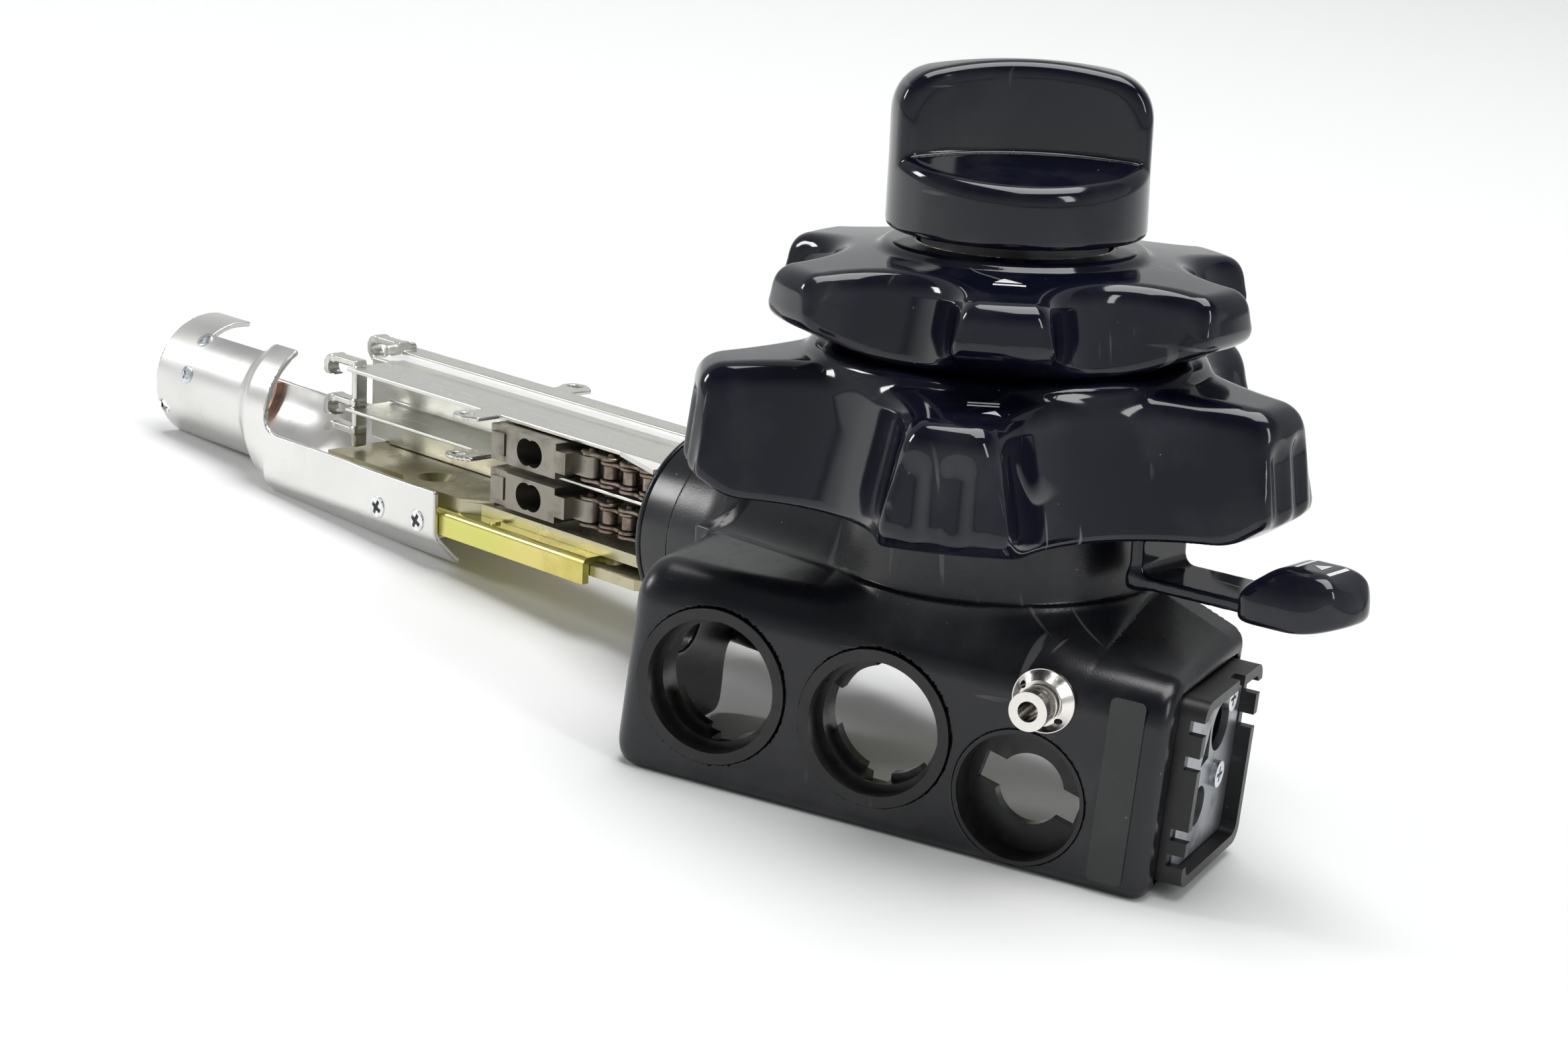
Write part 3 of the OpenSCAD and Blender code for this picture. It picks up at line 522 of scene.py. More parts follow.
def pad(x, y, z):
    """A thumb pad: a flat top with broad bevels at the front and back, and a well rounded outer end."""
    u, v = lever_frame(x, y)
    end = np.hypot(np.maximum(u - 34.4, 0), np.maximum(np.abs(v) - 0.2, 0) * 1.16) - 5.25
    side = smax(np.abs(v) - 4.55, 29.3 - u, 1.6)
    d = smax(smax(side, end, 0.8), np.maximum(z - 12.7, 7.3 - z), 0.9)
    # Bevels at the inner end, the outer end and both sides, and the rise under the outer end
    d = smax(d, (31.6 - u) * 0.62 + (z - 12.0) * 0.78, 0.9)
    d = smax(d, (u - 38.2) * 0.70 + (z - 12.1) * 0.70, 1.2)
    for s in (1, -1):
        d = smax(d, (s * v - 3.2) * 0.80 + (z - 11.9) * 0.60, 0.9)
    d = smax(d, (u - 36.6) * 0.35 - (z - 7.3) * 0.93, 0.9)
    socket = box_d(u, v, z, (28, -3.62, 7.88), (32.02, 3.62, 9.12), 0.05)
    return smax(d, -socket, 0.05)


shaped("ud_lever_arm", lever, (-12.8, -12.8, 7.6), (33, 13, 13.1), 0.24, KNOB, "ud_brake",
       ("ud_brake_lever",))
shaped("ud_lever_pad", pad, (28.0, -2.0, 6.8), (40.6, 10.0, 13.2), 0.18, KNOB, "ud_brake", ("lever_pad",))


MARK_LIFT = 0.025


def mark(name, f, body, outline, centre, turn, top):
    """A thin printed mark laid on the surface of f; outline is a list of convex polygons in millimetres."""
    verts, faces = [], []
    c, s = math.cos(turn), math.sin(turn)
    cells = 6
    for poly in outline:
        pts = np.array(poly, float)
        n = len(pts)
        mid = pts.mean(0)
        start = len(verts)
        ring = []
        for k in range(1, cells + 1):
            for i in range(n):
                for j in range(cells):
                    q = pts[i] + (pts[(i + 1) % n] - pts[i]) * j / cells
                    ring.append(mid + (q - mid) * k / cells)
        p2 = np.array([mid, *ring])
        x = centre[0] + c * p2[:, 0] - s * p2[:, 1]
        y = centre[1] + s * p2[:, 0] + c * p2[:, 1]
        low, high = np.full(len(x), top - 4.0), np.full(len(x), top + 1.5)
        for _ in range(30):
            m = (low + high) / 2
            out = f(x, y, m) > 0
            high = np.where(out, m, high)
            low = np.where(out, low, m)
        verts.extend(np.stack([x, y, high + MARK_LIFT], 1))
        per = n * cells
        for i in range(per):
            faces.append((start, start + 1 + i, start + 1 + (i + 1) % per))
        for k in range(cells - 1):
            for i in range(per):
                a, b = start + 1 + k * per + i, start + 1 + k * per + (i + 1) % per
                faces.append((a, a + per, b + per, b))
    return piece(name, verts, faces, PRINT, body)


def bars(*spans):
    """Rectangles from (left, right, bottom, top)."""
    return [[(a, c), (b, c), (b, d), (a, d)] for a, b, c, d in spans]


mark("ud_knob_mark", ud_knob, "ud_control",
     [[(-0.25, -1.9), (1.5, -1.9), (0.9, -1.0)]] + bars((-1.6, 1.2, 0.0, 0.35), (-1.6, 1.2, 0.75, 1.1)),
     (13.9, -16.9), rad(42.0), 26.0)
mark("rl_knob_mark", rl_knob, "rl_control",
     [[(-1.2, 0.7), (1.3, 0.7), (-0.4, 1.9)]] + bars((-1.3, 1.6, -0.2, 0.25)), (10.9, -11.9), rad(42.0),
     35.5)
mark("lever_mark", pad, "ud_brake",
     [[(-0.9, -0.7), (0.9, -0.7), (0.0, 0.6)]] + bars((-1.6, 1.6, 1.3, 1.7), (-1.6, 1.6, -2.0, -1.6)),
     (34.9, 4.3), rad(97), 13.0)

# ---------------------------------------------------------------- housing

# Middle of the valve face, and how the block is tipped and turned about it
AT = np.array([-1.6, -20.2, -5.8])
TILT, YAW = rad(4.6), rad(23.5)
RY = np.array([[math.cos(TILT), 0, math.sin(TILT)], [0, 1, 0], [-math.sin(TILT), 0, math.cos(TILT)]])
RZ = np.array([[math.cos(YAW), -math.sin(YAW), 0], [math.sin(YAW), math.cos(YAW), 0], [0, 0, 1]])
BLOCK_AXES = RZ @ RY
# Openings, along the face and up it
VALVES = (-11.06, 5.33)
SWITCH = (19.74, -2.97)
PLUG = (21.0, 6.6)
# Block: height and roundness of its front top edge, and the depth of the openings
BLOCK_TOP = 10.2
EDGE_R = 4.2
HOLE_DEPTH = 6.0
WALL = 1.6
# Main body: height of its rim, its radius round the boss, and its straight front wall
RIM_Z = 5.9
RIM_R = 15.8
WALL_Y = -14.4
NECK_Z = 0.8
NECK_R = 10.5
BOSS_TOP = 12.3


def block_frame(x, y, z):
    """Along the valve face, into the block, and up, from a point in the row's frame."""
    p = (x - AT[0], y - AT[1], z - AT[2])
    return [sum(BLOCK_AXES[i, j] * p[i] for i in range(3)) for j in range(3)]


def rim_curve():
    """The crisp rim of the main body in the block's frame: a straight run, then an arc round the boss."""
    run = [(x, WALL_Y) for x in np.linspace(-30, -6.9, 20)]
    arc = [(RIM_R * math.sin(a), -RIM_R * math.cos(a)) for a in np.linspace(-0.42, 1.98, 40)]
    pts = np.array([(x, y, RIM_Z) for x, y in run + arc])
    return ((pts - AT) @ BLOCK_AXES).T


RIM_U, RIM_N, RIM_V = rim_curve()


def valve_block(u, n, v):
    """The block, whose top rises in a ruled slope from the rounded front edge to the rim; also its shell."""
    rim_n = np.interp(u, RIM_U, RIM_N)
    rise = np.interp(u, RIM_U, RIM_V) - BLOCK_TOP
    fade = np.clip((33.0 - u) / 9.0, 0, 1)
    across = np.clip((n - 0.6) / np.maximum(rim_n - 0.6, 1.5), 0, 1)
    slope = BLOCK_TOP + np.maximum(rise, 0) * fade * across ** 1.5
    qn, qv = EDGE_R - n, v - (slope - EDGE_R)
    shell = np.hypot(np.maximum(qn, 0), np.maximum(qv, 0)) + np.minimum(np.maximum(qn, qv), 0) - EDGE_R
    block = smax(np.maximum(shell, n - 21.0), -9.85 - v, 1.6)
    block = smax(block, -20.5 + 0.03 * v - u, 3.0)
    return smax(block, u - 32.6, 1.6), shell


def main_body(plan, z, n):
    """The body under the knobs, with a shallow dip inside its rim; also the surface of its top."""
    top = z - (RIM_Z - 0.85 * smooth_step(-plan / 1.8))
    body = smax(plan, np.maximum(top, -6.0 - z), 0.25)
    return smax(body, 0.4 - n, 1.0), top


def neck_spigot(x, r_neck):
    """The round neck with the groove for its seal."""
    neck = smax(r_neck - NECK_R, np.maximum(-40.0 - x, x + 4.0), 0.5)
    groove = np.maximum(r_neck - 12, np.abs(x + 37.2) - 2.0)
    return smax(neck, -np.maximum(groove, 9.8 - r_neck), 0.25)


def knob_boss(r, z, n):
    """The round boss under the knobs, drawn in by a cove."""
    cove = RIM_R - 0.4 - 0.9 * np.sqrt(np.clip(1 - ((z - 12.0) / 6.8) ** 2, 0, 1))
    boss = smax((r - cove) * 0.85, np.maximum(z - BOSS_TOP, RIM_Z - 2.0 - z), 0.6)
    return smax(boss, 0.2 - n, 0.8)


def hollows(x, y, z, u, n, v, shell, plan):
    """The bore of the neck, the core under the boss, the room under the body and the pocket in the block."""
    bore = np.maximum(np.hypot(y, z - NECK_Z) - 9.3, np.maximum(-x - 60, x + 6))
    core = np.maximum(np.hypot(x, y) - 11.5, z - 7.4)
    room = box_d(x, y, z, (-24.6, -12.2, -30.0), (17.5, 10.2, 3.8), 0.5)
    room = np.maximum(room, np.minimum(shell, np.maximum(plan, 3.0 - n)) + WALL)
    pocket = box_d(u, n, v, (-18.9, 2.4, -40.0), (30.2, 30.0, 7.8), 0.8)
    pocket = np.maximum(pocket, n - 22.5)
    return np.minimum(np.minimum(bore, core), np.minimum(room, pocket))


def open_face(d, u, n, v):
    """Cuts the notch in the block's left wall, the round openings and the switch window."""
    notch = np.maximum(box_d(u, n, v, (-30.0, 7.0, -1.0), (-15.0, 14.0, 14.0), 3.2), v - 7.6)
    d = smax(d, -notch, 0.3)
    for c in VALVES:
        r = np.hypot(u - c, v)
        d = smax(d, -np.maximum(r - 7.42, n - 1.7), 0.15)
        d = smax(d, -np.maximum(r - 6.72, n - HOLE_DEPTH), 0.15)
    for (at_u, at_v), radius, edge in ((SWITCH, 6.3, 0.25), (PLUG, 1.6, 0.1)):
        d = smax(d, -np.maximum(np.hypot(u - at_u, v - at_v) - radius, n - HOLE_DEPTH), edge)
    return smax(d, -box_d(u, n, v, (28.6, 2.5, -8.9), (36.0, 19.5, 9.0), 1.0), 0.2)


def housing(x, y, z):
    u, n, v = block_frame(x, y, z)
    r, r_neck = np.hypot(x, y), np.hypot(y, z - NECK_Z)
    plan = smin(outline_d(x, y, (-27.0, WALL_Y), (0.0, 12.6), 5, 1.0), r - RIM_R, 1.0)
    block, shell = valve_block(u, n, v)
    body, top = main_body(plan, z, n)
    # Behind the rim the block's top drops to the main body's own top
    block = np.where(plan < 0, np.maximum(block, top), block)
    d = smin(neck_spigot(x, r_neck), smin(block, body, 0.5), 3.2)
    d = smin(d, knob_boss(r, z, n), 0.5)
    d = smax(d, -hollows(x, y, z, u, n, v, shell, plan), 0.3)
    d = open_face(d, u, n, v)
    d = smax(d, -(np.maximum(r - 6.05, -z)), 0.15)
    # Two screw pillars
    for side in (1, -1):
        r_post = np.hypot(x - 11, y - side * 7)
        post = np.maximum(np.maximum(r_post - 2.0, 0.9 - r_post), np.maximum(-2.48 - z, z - 5.5))
        d = smin(d, post, 0.3)
    return d


shaped("housing_body", housing, (-40.5, -30.5, -18.8), (31.5, 15.5, 13.0), 0.27, SATIN, "chassis",
       ("control_housing",))

# ---------------------------------------------------------------- front tube and trough

TUBE_Z = -0.5
TUBE_R = 7.5
TUBE_END = -106.3
TROUGH_HALF = 9.3
SHEET = 0.6
STRAP_EDGE = rad(59)
BAND_EDGE = rad(101)


def past_angle(y, h, angle):
    """How far a point lies past the plane through the tube's axis, turned by angle from the level."""
    return math.cos(angle) * h + math.sin(angle) * y


def trough(x, y, z):
    """A folded sheet: round tube, flared rim, then an open trough with chamfered lower corners."""
    h = z - TUBE_Z
    r = np.hypot(y, h)
    flare = r - (TUBE_R + 1.8 * smooth_step((x + 114.2) / 4.2))
    section = np.maximum(np.abs(y) - TROUGH_HALF, -10.3 - z)
    section = smax(section, (np.abs(y) - z - 16.2) * math.sqrt(0.5), 0.6)
    low = np.where(h > 0, r - TROUGH_HALF, section)
    t = smooth_step((x + 113.0) / 9.0) * smooth_step(-h / 3.0)
    outer = np.where(x > TUBE_END, low, flare + (low - flare) * t)
    d = np.abs(outer + SHEET / 2) - SHEET / 2
    d = smax(d, np.maximum(-131.0 - x, x + 74.4), 0.1)
    d = smax(d, smin(z + 1.45 + 0.012 * (x + 103), x - TUBE_END, 2.4), 0.1)
    # Cut away over the top, from the strap's edge round to the far wall
    lid = 0.07 * y + 0.9976 * h
    over = smin(past_angle(y, h, STRAP_EDGE), smin(lid, x + 124.5, 0.8), 0.3)
    d = smax(d, over, 0.1)
    # The end band stops just past its top on the far side
    band = smin(past_angle(y, h, BAND_EDGE), lid, 0.8)
    d = smax(d, np.minimum(band, TUBE_END - x), 0.3)
    hole = np.hypot(x + 130, past_angle(y, h, rad(-22))) - 0.85
    d = smax(d, -np.maximum(hole, y), 0.05)
    # The floor stops short of the trough's open end
    return smax(d, -np.maximum(-84.0 - x, np.maximum(-5.7 - y, z + 7.6)), 0.2)


shaped("front_trough_sheet", trough, (-131, -9.4, -10.4), (-74.4, 9.4, 9.0), 0.24, TUBE, "chassis",
       ("front_trough",))


def turned(s, t, angle):
    """A point turned about the middle."""
    c, k = math.cos(angle), math.sin(angle)
    return s * c - t * k, s * k + t * c


def cross_d(s, t, wide, narrow):
    """Distance to a plus sign."""
    flat = np.maximum(np.abs(s) - wide, np.abs(t) - narrow)
    upright = np.maximum(np.abs(t) - wide, np.abs(s) - narrow)
    return np.minimum(flat, upright)


def screw_heads(places, radius, turn):
    """Countersunk heads with a cross recess; places are (centre, outward axis)."""
    def f(x, y, z):
        best = None
        for centre, axis in places:
            along = np.array([1.0, 0.0, 0.0])
            around = np.cross(axis, along)
            q = (x - centre[0], y - centre[1], z - centre[2])
            h, s, t = (q[0] * w[0] + q[1] * w[1] + q[2] * w[2] for w in (axis, along, around))
            s, t = turned(s, t, turn)
            rho = np.hypot(s, t)
            head = smax(rho - radius, np.maximum(h - 0.24 + 0.09 * rho * rho, -0.12 - h), 0.08)
            stem = np.maximum(rho - 0.5, np.maximum(h, -0.9 - h))
            head = np.minimum(head, stem)
            recess = cross_d(s, t, radius * 0.66, radius * 0.19)
            head = smax(head, -np.maximum(recess, -0.05 - h + 0.2 * np.maximum(rho - 0.3, 0)), 0.03)
            best = head if best is None else np.minimum(best, head)
        return best
    return f


SCREW_X = (-84.5, -77.4)
SCREW_Z = -5.5
SCREW_TURN = 0.5
TUBE_SCREW_X = -124.85
TUBE_SCREW_AT = (rad(15.3), rad(50.5))


def recess_shade(x, y, z):
    """Dark crosses at the bottom of each cross recess in the trough's screws: painted shade in the recesses.
    """
    best = None
    for centre in SCREW_X:
        s, t = turned(x - centre, z - SCREW_Z, SCREW_TURN)
        floor = np.maximum(cross_d(s, t, 0.74, 0.20), np.abs(y + 9.325) - 0.085)
        best = floor if best is None else np.minimum(best, floor)
    return best


def tube_screw(angle):
    """Centre and outward axis of a screw in the tube's near side."""
    y, h = -math.cos(angle), math.sin(angle)
    return (TUBE_SCREW_X, TUBE_R * y, TUBE_Z + TUBE_R * h), (0, y, h)


trough_heads = screw_heads([((x, -9.32, SCREW_Z), (0, -1, 0)) for x in SCREW_X], 1.2, SCREW_TURN)
tube_heads = screw_heads([tube_screw(a) for a in TUBE_SCREW_AT], 1.0, 0.7)
shaped("trough_screw_heads", trough_heads, (-85.8, -9.7, -6.8), (-76.1, -8.4, -4.2), 0.07, WHITE_SCREW,
       "chassis", ("trough_screws",))
# Thin dark crosses laid in the trough screws' recesses: painted shade where the recesses fall dark.
shaped("trough_screw_recess_shade", recess_shade, (-85.8, -9.5, -6.8), (-76.1, -9.15, -4.2), 0.06, MATT,
       "chassis")
shaped("tube_screw_heads", tube_heads, (-126.0, -8.6, -0.2), (-123.7, -3.6, 7.2), 0.07, SCREW, "chassis",
       ("tube_screws",))

# ---------------------------------------------------------------- chains

PITCH = 3.1
LINKS = 13
# First pin at rest, half the distance between the two strands, and the heights of the two chains
PIN_X = -53.8
STRAND_Y = 4.532
CHAIN_Z = {"ud": 4.78, "rl": 0.05}


def prism(outline, levels, verts, faces):
    """Adds a solid with the plan outline(inset) at each (height, inset) level."""
    start = len(verts)
    for z, inset in levels:
        ring = outline(inset)
        verts.extend((a, b, z) for a, b in ring)
    n = len(ring)
    for k in range(len(levels) - 1):
        for i in range(n):
            a, b = start + k * n + i, start + k * n + (i + 1) % n
            faces.append((a, b, b + n, a + n))
    last = start + (len(levels) - 1) * n
    faces.append(tuple(range(start + n - 1, start - 1, -1)))
    faces.append(tuple(range(last, last + n)))


def disc(cx, cy, radius, sides=20):
    """A round outline for prism, drawn in by inset."""
    turns = [2 * math.pi * i / sides for i in range(sides)]

    def outline(inset):
        r = radius - inset
        return [(cx + r * math.cos(a), cy + r * math.sin(a)) for a in turns]
    return outline


def link_plate(x0, x1, y, radius):
    """Figure-eight plate round two pins, drawn in at the waist."""
    def outline(inset):
        r = radius - inset
        right = [(x1 + r * math.cos(rad(a)), y + r * math.sin(rad(a))) for a in range(-126, 127, 14)]
        left = [(x0 + r * math.cos(rad(a)), y + r * math.sin(rad(a))) for a in range(54, 307, 14)]
        mid, waist = (x0 + x1) / 2, 0.66 * radius - inset
        return right + [(mid, y + waist)] + left + [(mid, y - waist)]
    return outline


def link_levels(z, side, low, high):
    """Levels of a plate that lies between low and high above the chain's middle, or below it."""
    a, b = sorted((side * low, side * high))
    return [(z + a, 0.09), (z + a + 0.08, 0), (z + b - 0.08, 0), (z + b, 0.09)]


def chain(knob, end, side):
    """A straight run of roller chain: outer and inner plates in turn, pins and rollers."""
    verts, faces = [], []
    y, z = side * STRAND_Y, CHAIN_Z[knob]
    for i in range(LINKS):
        x0 = PIN_X + i * PITCH
        low, high, radius = (1.22, 1.6, 1.32) if i % 2 == 0 else (0.78, 1.16, 1.26)
        for face in (1, -1):
            plate = link_plate(x0, x0 + PITCH, y, radius)
            prism(plate, link_levels(z, face, low, high), verts, faces)
    for i in range(LINKS + 1):
        x = PIN_X + i * PITCH
        pin = disc(x, y, 0.5)
        prism(pin, [(z - 1.86, 0.16), (z - 1.74, 0), (z + 1.74, 0), (z + 1.86, 0.16)], verts, faces)
        if i:
            roller = disc(x, y, 0.92, 24)
            prism(roller, [(z - 0.75, 0.1), (z - 0.65, 0), (z + 0.65, 0), (z + 0.75, 0.1)], verts, faces)
    o = piece(f"{knob}_{end}_links", verts, faces, CHAIN, f"{knob}_run_{end}", (f"{knob}_chain_{end}",))
    o.data.set_sharp_from_angle(angle=rad(38))


for knob in ("ud", "rl"):
    for end, side in (("near", -1), ("far", 1)):
        chain(knob, end, side)

# ---------------------------------------------------------------- guide channels

DECK_Z = 7.05
SHELF_Z = 2.55
FLOOR_Z = -2.18
NEAR_EDGE = -5.0
NEAR_LEFT = -96.5
REAR_LEFT = -100.5
CHANNEL_END = -10.0


def eyelet(x, y, z, hole_x, edge, out, level):
    """A flat lug with an oval hole, standing out from the sheet's edge and swept back along it."""
    middle = edge + out * 2.6
    oval = np.hypot((x - hole_x) * 0.78, y - middle)
    root = outline_d(x, y * out, (hole_x - 0.9, edge * out - 0.3), (hole_x + 2.4, middle * out + 0.4), 1, 0.3)
    flat = smin(oval - 1.3, root, 0.9)
    flat = smax(flat, 0.68 - oval, 0.05)
    return smax(flat, np.abs(z - level) - 0.22, 0.08)


def hook(x, y, z, x0, y0, top, drop):
    """A sheet finger that runs out of the channel's end and curls down."""
    arm = box_d(x, y, z, (x0 - 4.2, y0, top - 0.75), (x0 + 0.5, y0 + 1.6, top))
    curl = np.abs(np.hypot(x - x0 + 4.0, z - top + 1.5) - 1.1) - 0.42
    curl = smax(curl, np.maximum(np.abs(y - y0 - 0.8) - 0.8, np.maximum(x - x0 + 3.6, top - drop - z)), 0.1)
    return smin(arm, curl, 0.3)


def channel_near(x, y, z):
    """A web between deck and shelf, with two lugs, and an end strip that carries three fingers."""
    left = NEAR_LEFT
    web = box_d(x, y, z, (left, 0.9, FLOOR_Z), (CHANNEL_END, 1.38, DECK_Z + 0.2))
    deck = box_d(x, y, z, (left, NEAR_EDGE, DECK_Z - 0.25), (CHANNEL_END, 2.7, DECK_Z + 0.25))
    shelf = box_d(x, y, z, (left, NEAR_EDGE - 0.2, SHELF_Z - 0.2), (CHANNEL_END, 1.2, SHELF_Z + 0.2))
    d = smin(web, np.minimum(deck, shelf), 0.5)
    d = np.minimum(d, eyelet(x, y, z, -71.2, NEAR_EDGE, -1, DECK_Z))
    d = np.minimum(d, eyelet(x, y, z, -72.3, NEAR_EDGE - 0.1, -1, SHELF_Z))
    strip = box_d(x, y, z, (left - 0.4, NEAR_EDGE + 0.9, FLOOR_Z + 0.3),
                  (left + 0.5, NEAR_EDGE + 2.6, DECK_Z + 0.1), 0.3)
    d = smin(d, strip, 0.2)
    for top, drop in ((DECK_Z + 0.9, 2.3), (SHELF_Z + 0.9, 2.4), (SHELF_Z - 2.2, 1.3)):
        d = smin(d, hook(x, y, z, left, NEAR_EDGE + 0.8, top, drop), 0.25)
    return d


def channel_rear(x, y, z):
    """A web with a thin bed and a shelf, an outer rail with one lug, and an end plate with a finger."""
    left = REAR_LEFT
    web = box_d(x, y, z, (left, 1.43, FLOOR_Z), (CHANNEL_END, 1.92, 6.98))
    bed = box_d(x, y, z, (left, 1.43, 6.70), (CHANNEL_END, 5.5, 6.98), 0.06)
    shelf = box_d(x, y, z, (left, 1.7, SHELF_Z - 0.2), (CHANNEL_END, 5.2, SHELF_Z + 0.2))
    rail = box_d(x, y, z, (left, 5.2, 6.72), (-43.0, 8.0, 7.4), 0.15)
    end = box_d(x, y, z, (left - 0.3, 3.0, 2.0), (left + 0.6, 7.4, 8.2), 0.5)
    d = smin(smin(web, np.minimum(bed, shelf), 0.3), rail, 0.1)
    d = smin(d, end, 0.3)
    d = smin(d, hook(x, y, z, left, 4.6, 8.4, 3.4), 0.3)
    return np.minimum(d, eyelet(x, y, z, -75.6, 8.0, 1, 7.1))


def strip_bed(x, y, z):
    """The bright strip that shows between the two decks."""
    return box_d(x, y, z, (-99.5, 2.0, 6.93), (-42.0, 5.3, 7.12), 0.06)


shaped("rear_channel_strip", strip_bed, (-99.6, 1.9, 6.8), (-41.9, 5.4, 7.2), 0.14, STRIP, "chassis")
shaped("near_channel_sheet", channel_near, (-102.2, -9.0, -2.4), (-10, 2.9, 8.4), 0.24, RAIL, "chassis",
       ("guide_channel_near",))
shaped("rear_channel_sheet", channel_rear, (-106.2, 1.2, -2.4), (-10, 11.8, 8.8), 0.24, RAIL, "chassis",
       ("guide_channel_rear",))


# ---------------------------------------------------------------- finishes of the CAD parts that are kept

KEPT = {
    "plug_oring": RUBBER, "shaft_oring": RUBBER, "neck_seal": BAND, "boss_bush": BRASS,
    "centre_post": STEEL, "post_clip": STEEL, "ud_brake_plate": STEEL, "rl_brake_disc": MATT,
    "ud_shaft": STEEL, "ud_sprocket": STEEL, "rl_shaft": STEEL, "rl_sprocket": STEEL,
    "ud_chain_loop": CHAIN, "rl_chain_loop": CHAIN,
    "switch_frame": MATT, "switch_mount_plate": GREY, "switch_plate_screws": SCREW,
    "base_plate": NICKEL, "angle_bracket": GOLD, "neck_bridge": NICKEL, "base_plate_screws": SCREW,
    "tube_ring": COPPER, "chain_shield": NYLON, "blank_label": LABEL,
    "valve_seat_suction": SEAT, "valve_seat_air_water": SEAT, "switch_seat": SEAT,
    "plug_flange": BRIGHT, "plug_stub": BRIGHT,
}
for side in ("near", "far"):
    for knob in ("ud", "rl"):
        KEPT[f"{knob}_block_{side}"] = BLOCK
for name, mat in KEPT.items():
    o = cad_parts[name]
    o.data.materials.clear()
    o.data.materials.append(mat)
    for slot in o.material_slots:
        slot.material = mat

# Width of the rounding on their edges, in millimetres
EDGED = {
    "switch_frame": 0.18, "switch_mount_plate": 0.08, "base_plate": 0.12, "angle_bracket": 0.2,
    "neck_bridge": 0.15, "ud_block_near": 0.14, "ud_block_far": 0.14, "rl_block_near": 0.14,
    "rl_block_far": 0.14, "blank_label": 0.05, "chain_shield": 0.08,
}
for name, width in EDGED.items():
    bevel(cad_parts[name], width)

# ---------------------------------------------------------------- stage, light and camera

FLOOR_AT = Vector((0.0274, -0.0076, -0.0182))
FLOOR_UP = Vector((0.073547, 0.031979, 0.996779))
# Metres: floor in front of the curve and up to it, the curve, the wall above it, and half the width
FLOOR_FRONT, FLOOR_BACK, CURVE, WALL_TOP, HALF_WIDTH = 3.0, 0.9, 0.6, 3.0, 4.0


def floor_material():
    m = bpy.data.materials.new("pale_floor")
    m.use_nodes = True
    shader = m.node_tree.nodes["Principled BSDF"]
    shader.inputs["Base Color"].default_value = (0.93, 0.935, 0.93, 1)
    shader.inputs["Roughness"].default_value = 0.6
    return m


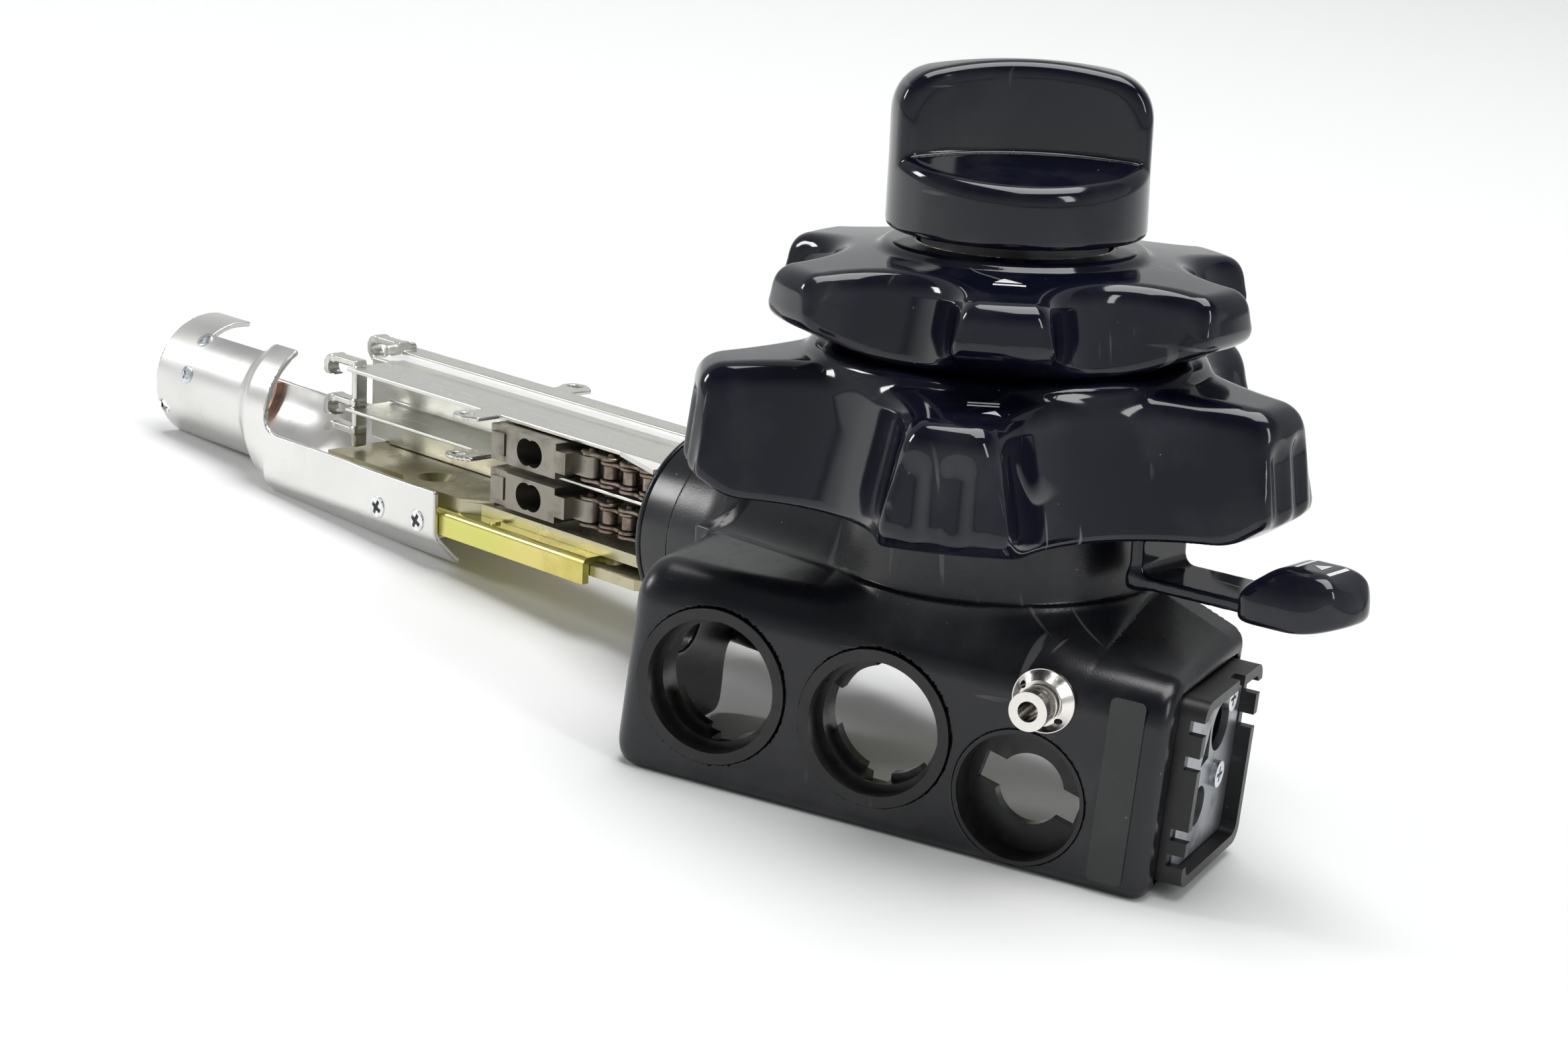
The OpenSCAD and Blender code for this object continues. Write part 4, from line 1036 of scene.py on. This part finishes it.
def sweep():
    """A pale floor that turns up into a backdrop behind the object."""
    away = Vector((-0.7355, 0.6775, 0.0))
    away = (away - FLOOR_UP * away.dot(FLOOR_UP)).normalized()
    side = FLOOR_UP.cross(away)
    turns = [rad(9 * i) for i in range(1, 11)]
    profile = [(-FLOOR_FRONT, 0.0), (FLOOR_BACK, 0.0)]
    profile += [(FLOOR_BACK + CURVE * math.sin(a), CURVE - CURVE * math.cos(a)) for a in turns]
    profile += [(FLOOR_BACK + CURVE, WALL_TOP)]
    edges = (-HALF_WIDTH, HALF_WIDTH)
    verts = [FLOOR_AT + away * d + FLOOR_UP * h + side * s for d, h in profile for s in edges]
    faces = [(2 * i, 2 * i + 1, 2 * i + 3, 2 * i + 2) for i in range(len(profile) - 1)]
    mesh = bpy.data.meshes.new("sweep")
    mesh.from_pydata([tuple(v) for v in verts], [], faces)
    mesh.polygons.foreach_set("use_smooth", [True] * len(faces))
    mesh.materials.append(floor_material())
    o = bpy.data.objects.new("sweep", mesh)
    bpy.context.scene.collection.objects.link(o)
    o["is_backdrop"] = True


def softbox(name, at, aim, size, power):
    """A rectangular light that faces aim."""
    light = bpy.data.lights.new(name, "AREA")
    light.shape = "RECTANGLE"
    light.size, light.size_y = size
    light.energy = power
    o = bpy.data.objects.new(name, light)
    o.location = at
    o.rotation_euler = (Vector(aim) - Vector(at)).to_track_quat("-Z", "Y").to_euler()
    bpy.context.scene.collection.objects.link(o)


def studio_world():
    """Even sky light that is brighter near the horizon than overhead."""
    world = bpy.data.worlds.new("studio")
    world.use_nodes = True
    sky = world.node_tree
    direction = sky.nodes.new("ShaderNodeTexCoord").outputs["Generated"]
    parts = sky.nodes.new("ShaderNodeSeparateXYZ")
    sky.links.new(direction, parts.inputs[0])
    strength = ramp(sky, parts.outputs["Z"], 0.05, 0.65, 0.56, 0.10)
    sky.links.new(strength, sky.nodes["Background"].inputs["Strength"])
    sky.nodes["Background"].inputs["Color"].default_value = (0.96, 0.98, 1.0, 1)
    bpy.context.scene.world = world


sweep()
softbox("top", (0.05, 0.15, 1.1), (0, 0, 0), (0.9, 0.7), 11.5)
softbox("left", (-0.95, -0.68, 0.62), (-0.06, 0, 0.01), (0.22, 0.36), 4.2)
softbox("right", (0.95, 0.0, 0.55), (0, 0, 0.01), (0.16, 0.6), 2.4)
studio_world()

AZ, EL, ROLL = rad(47.355), rad(14.155), rad(2.475)
CAMERA_AT = (0.23486, -0.24345, 0.0943)
back = Vector((math.sin(AZ) * math.cos(EL), -math.cos(AZ) * math.cos(EL), math.sin(EL)))
level = Vector((math.cos(AZ), math.sin(AZ), 0))
upward = back.cross(level)
right = level * math.cos(ROLL) + upward * math.sin(ROLL)
up = upward * math.cos(ROLL) - level * math.sin(ROLL)
lens = bpy.data.cameras.new("camera")
lens.sensor_width = 36.0
lens.lens = 85.935
lens.clip_start, lens.clip_end = 0.01, 20
camera = bpy.data.objects.new("camera", lens)
rows = [(right[i], up[i], back[i], CAMERA_AT[i]) for i in range(3)]
camera.matrix_world = Matrix((*rows, (0, 0, 0, 1)))
bpy.context.scene.collection.objects.link(camera)
bpy.context.scene.camera = camera
bpy.context.scene.view_settings.view_transform = "Standard"

end_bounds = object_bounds()


def plain(value):
    """Vectors and numbers as plain lists of floats."""
    if isinstance(value, (int, float)):
        return float(value)
    return [plain(v) for v in value]


plain(start_bounds)
plain(end_bounds)
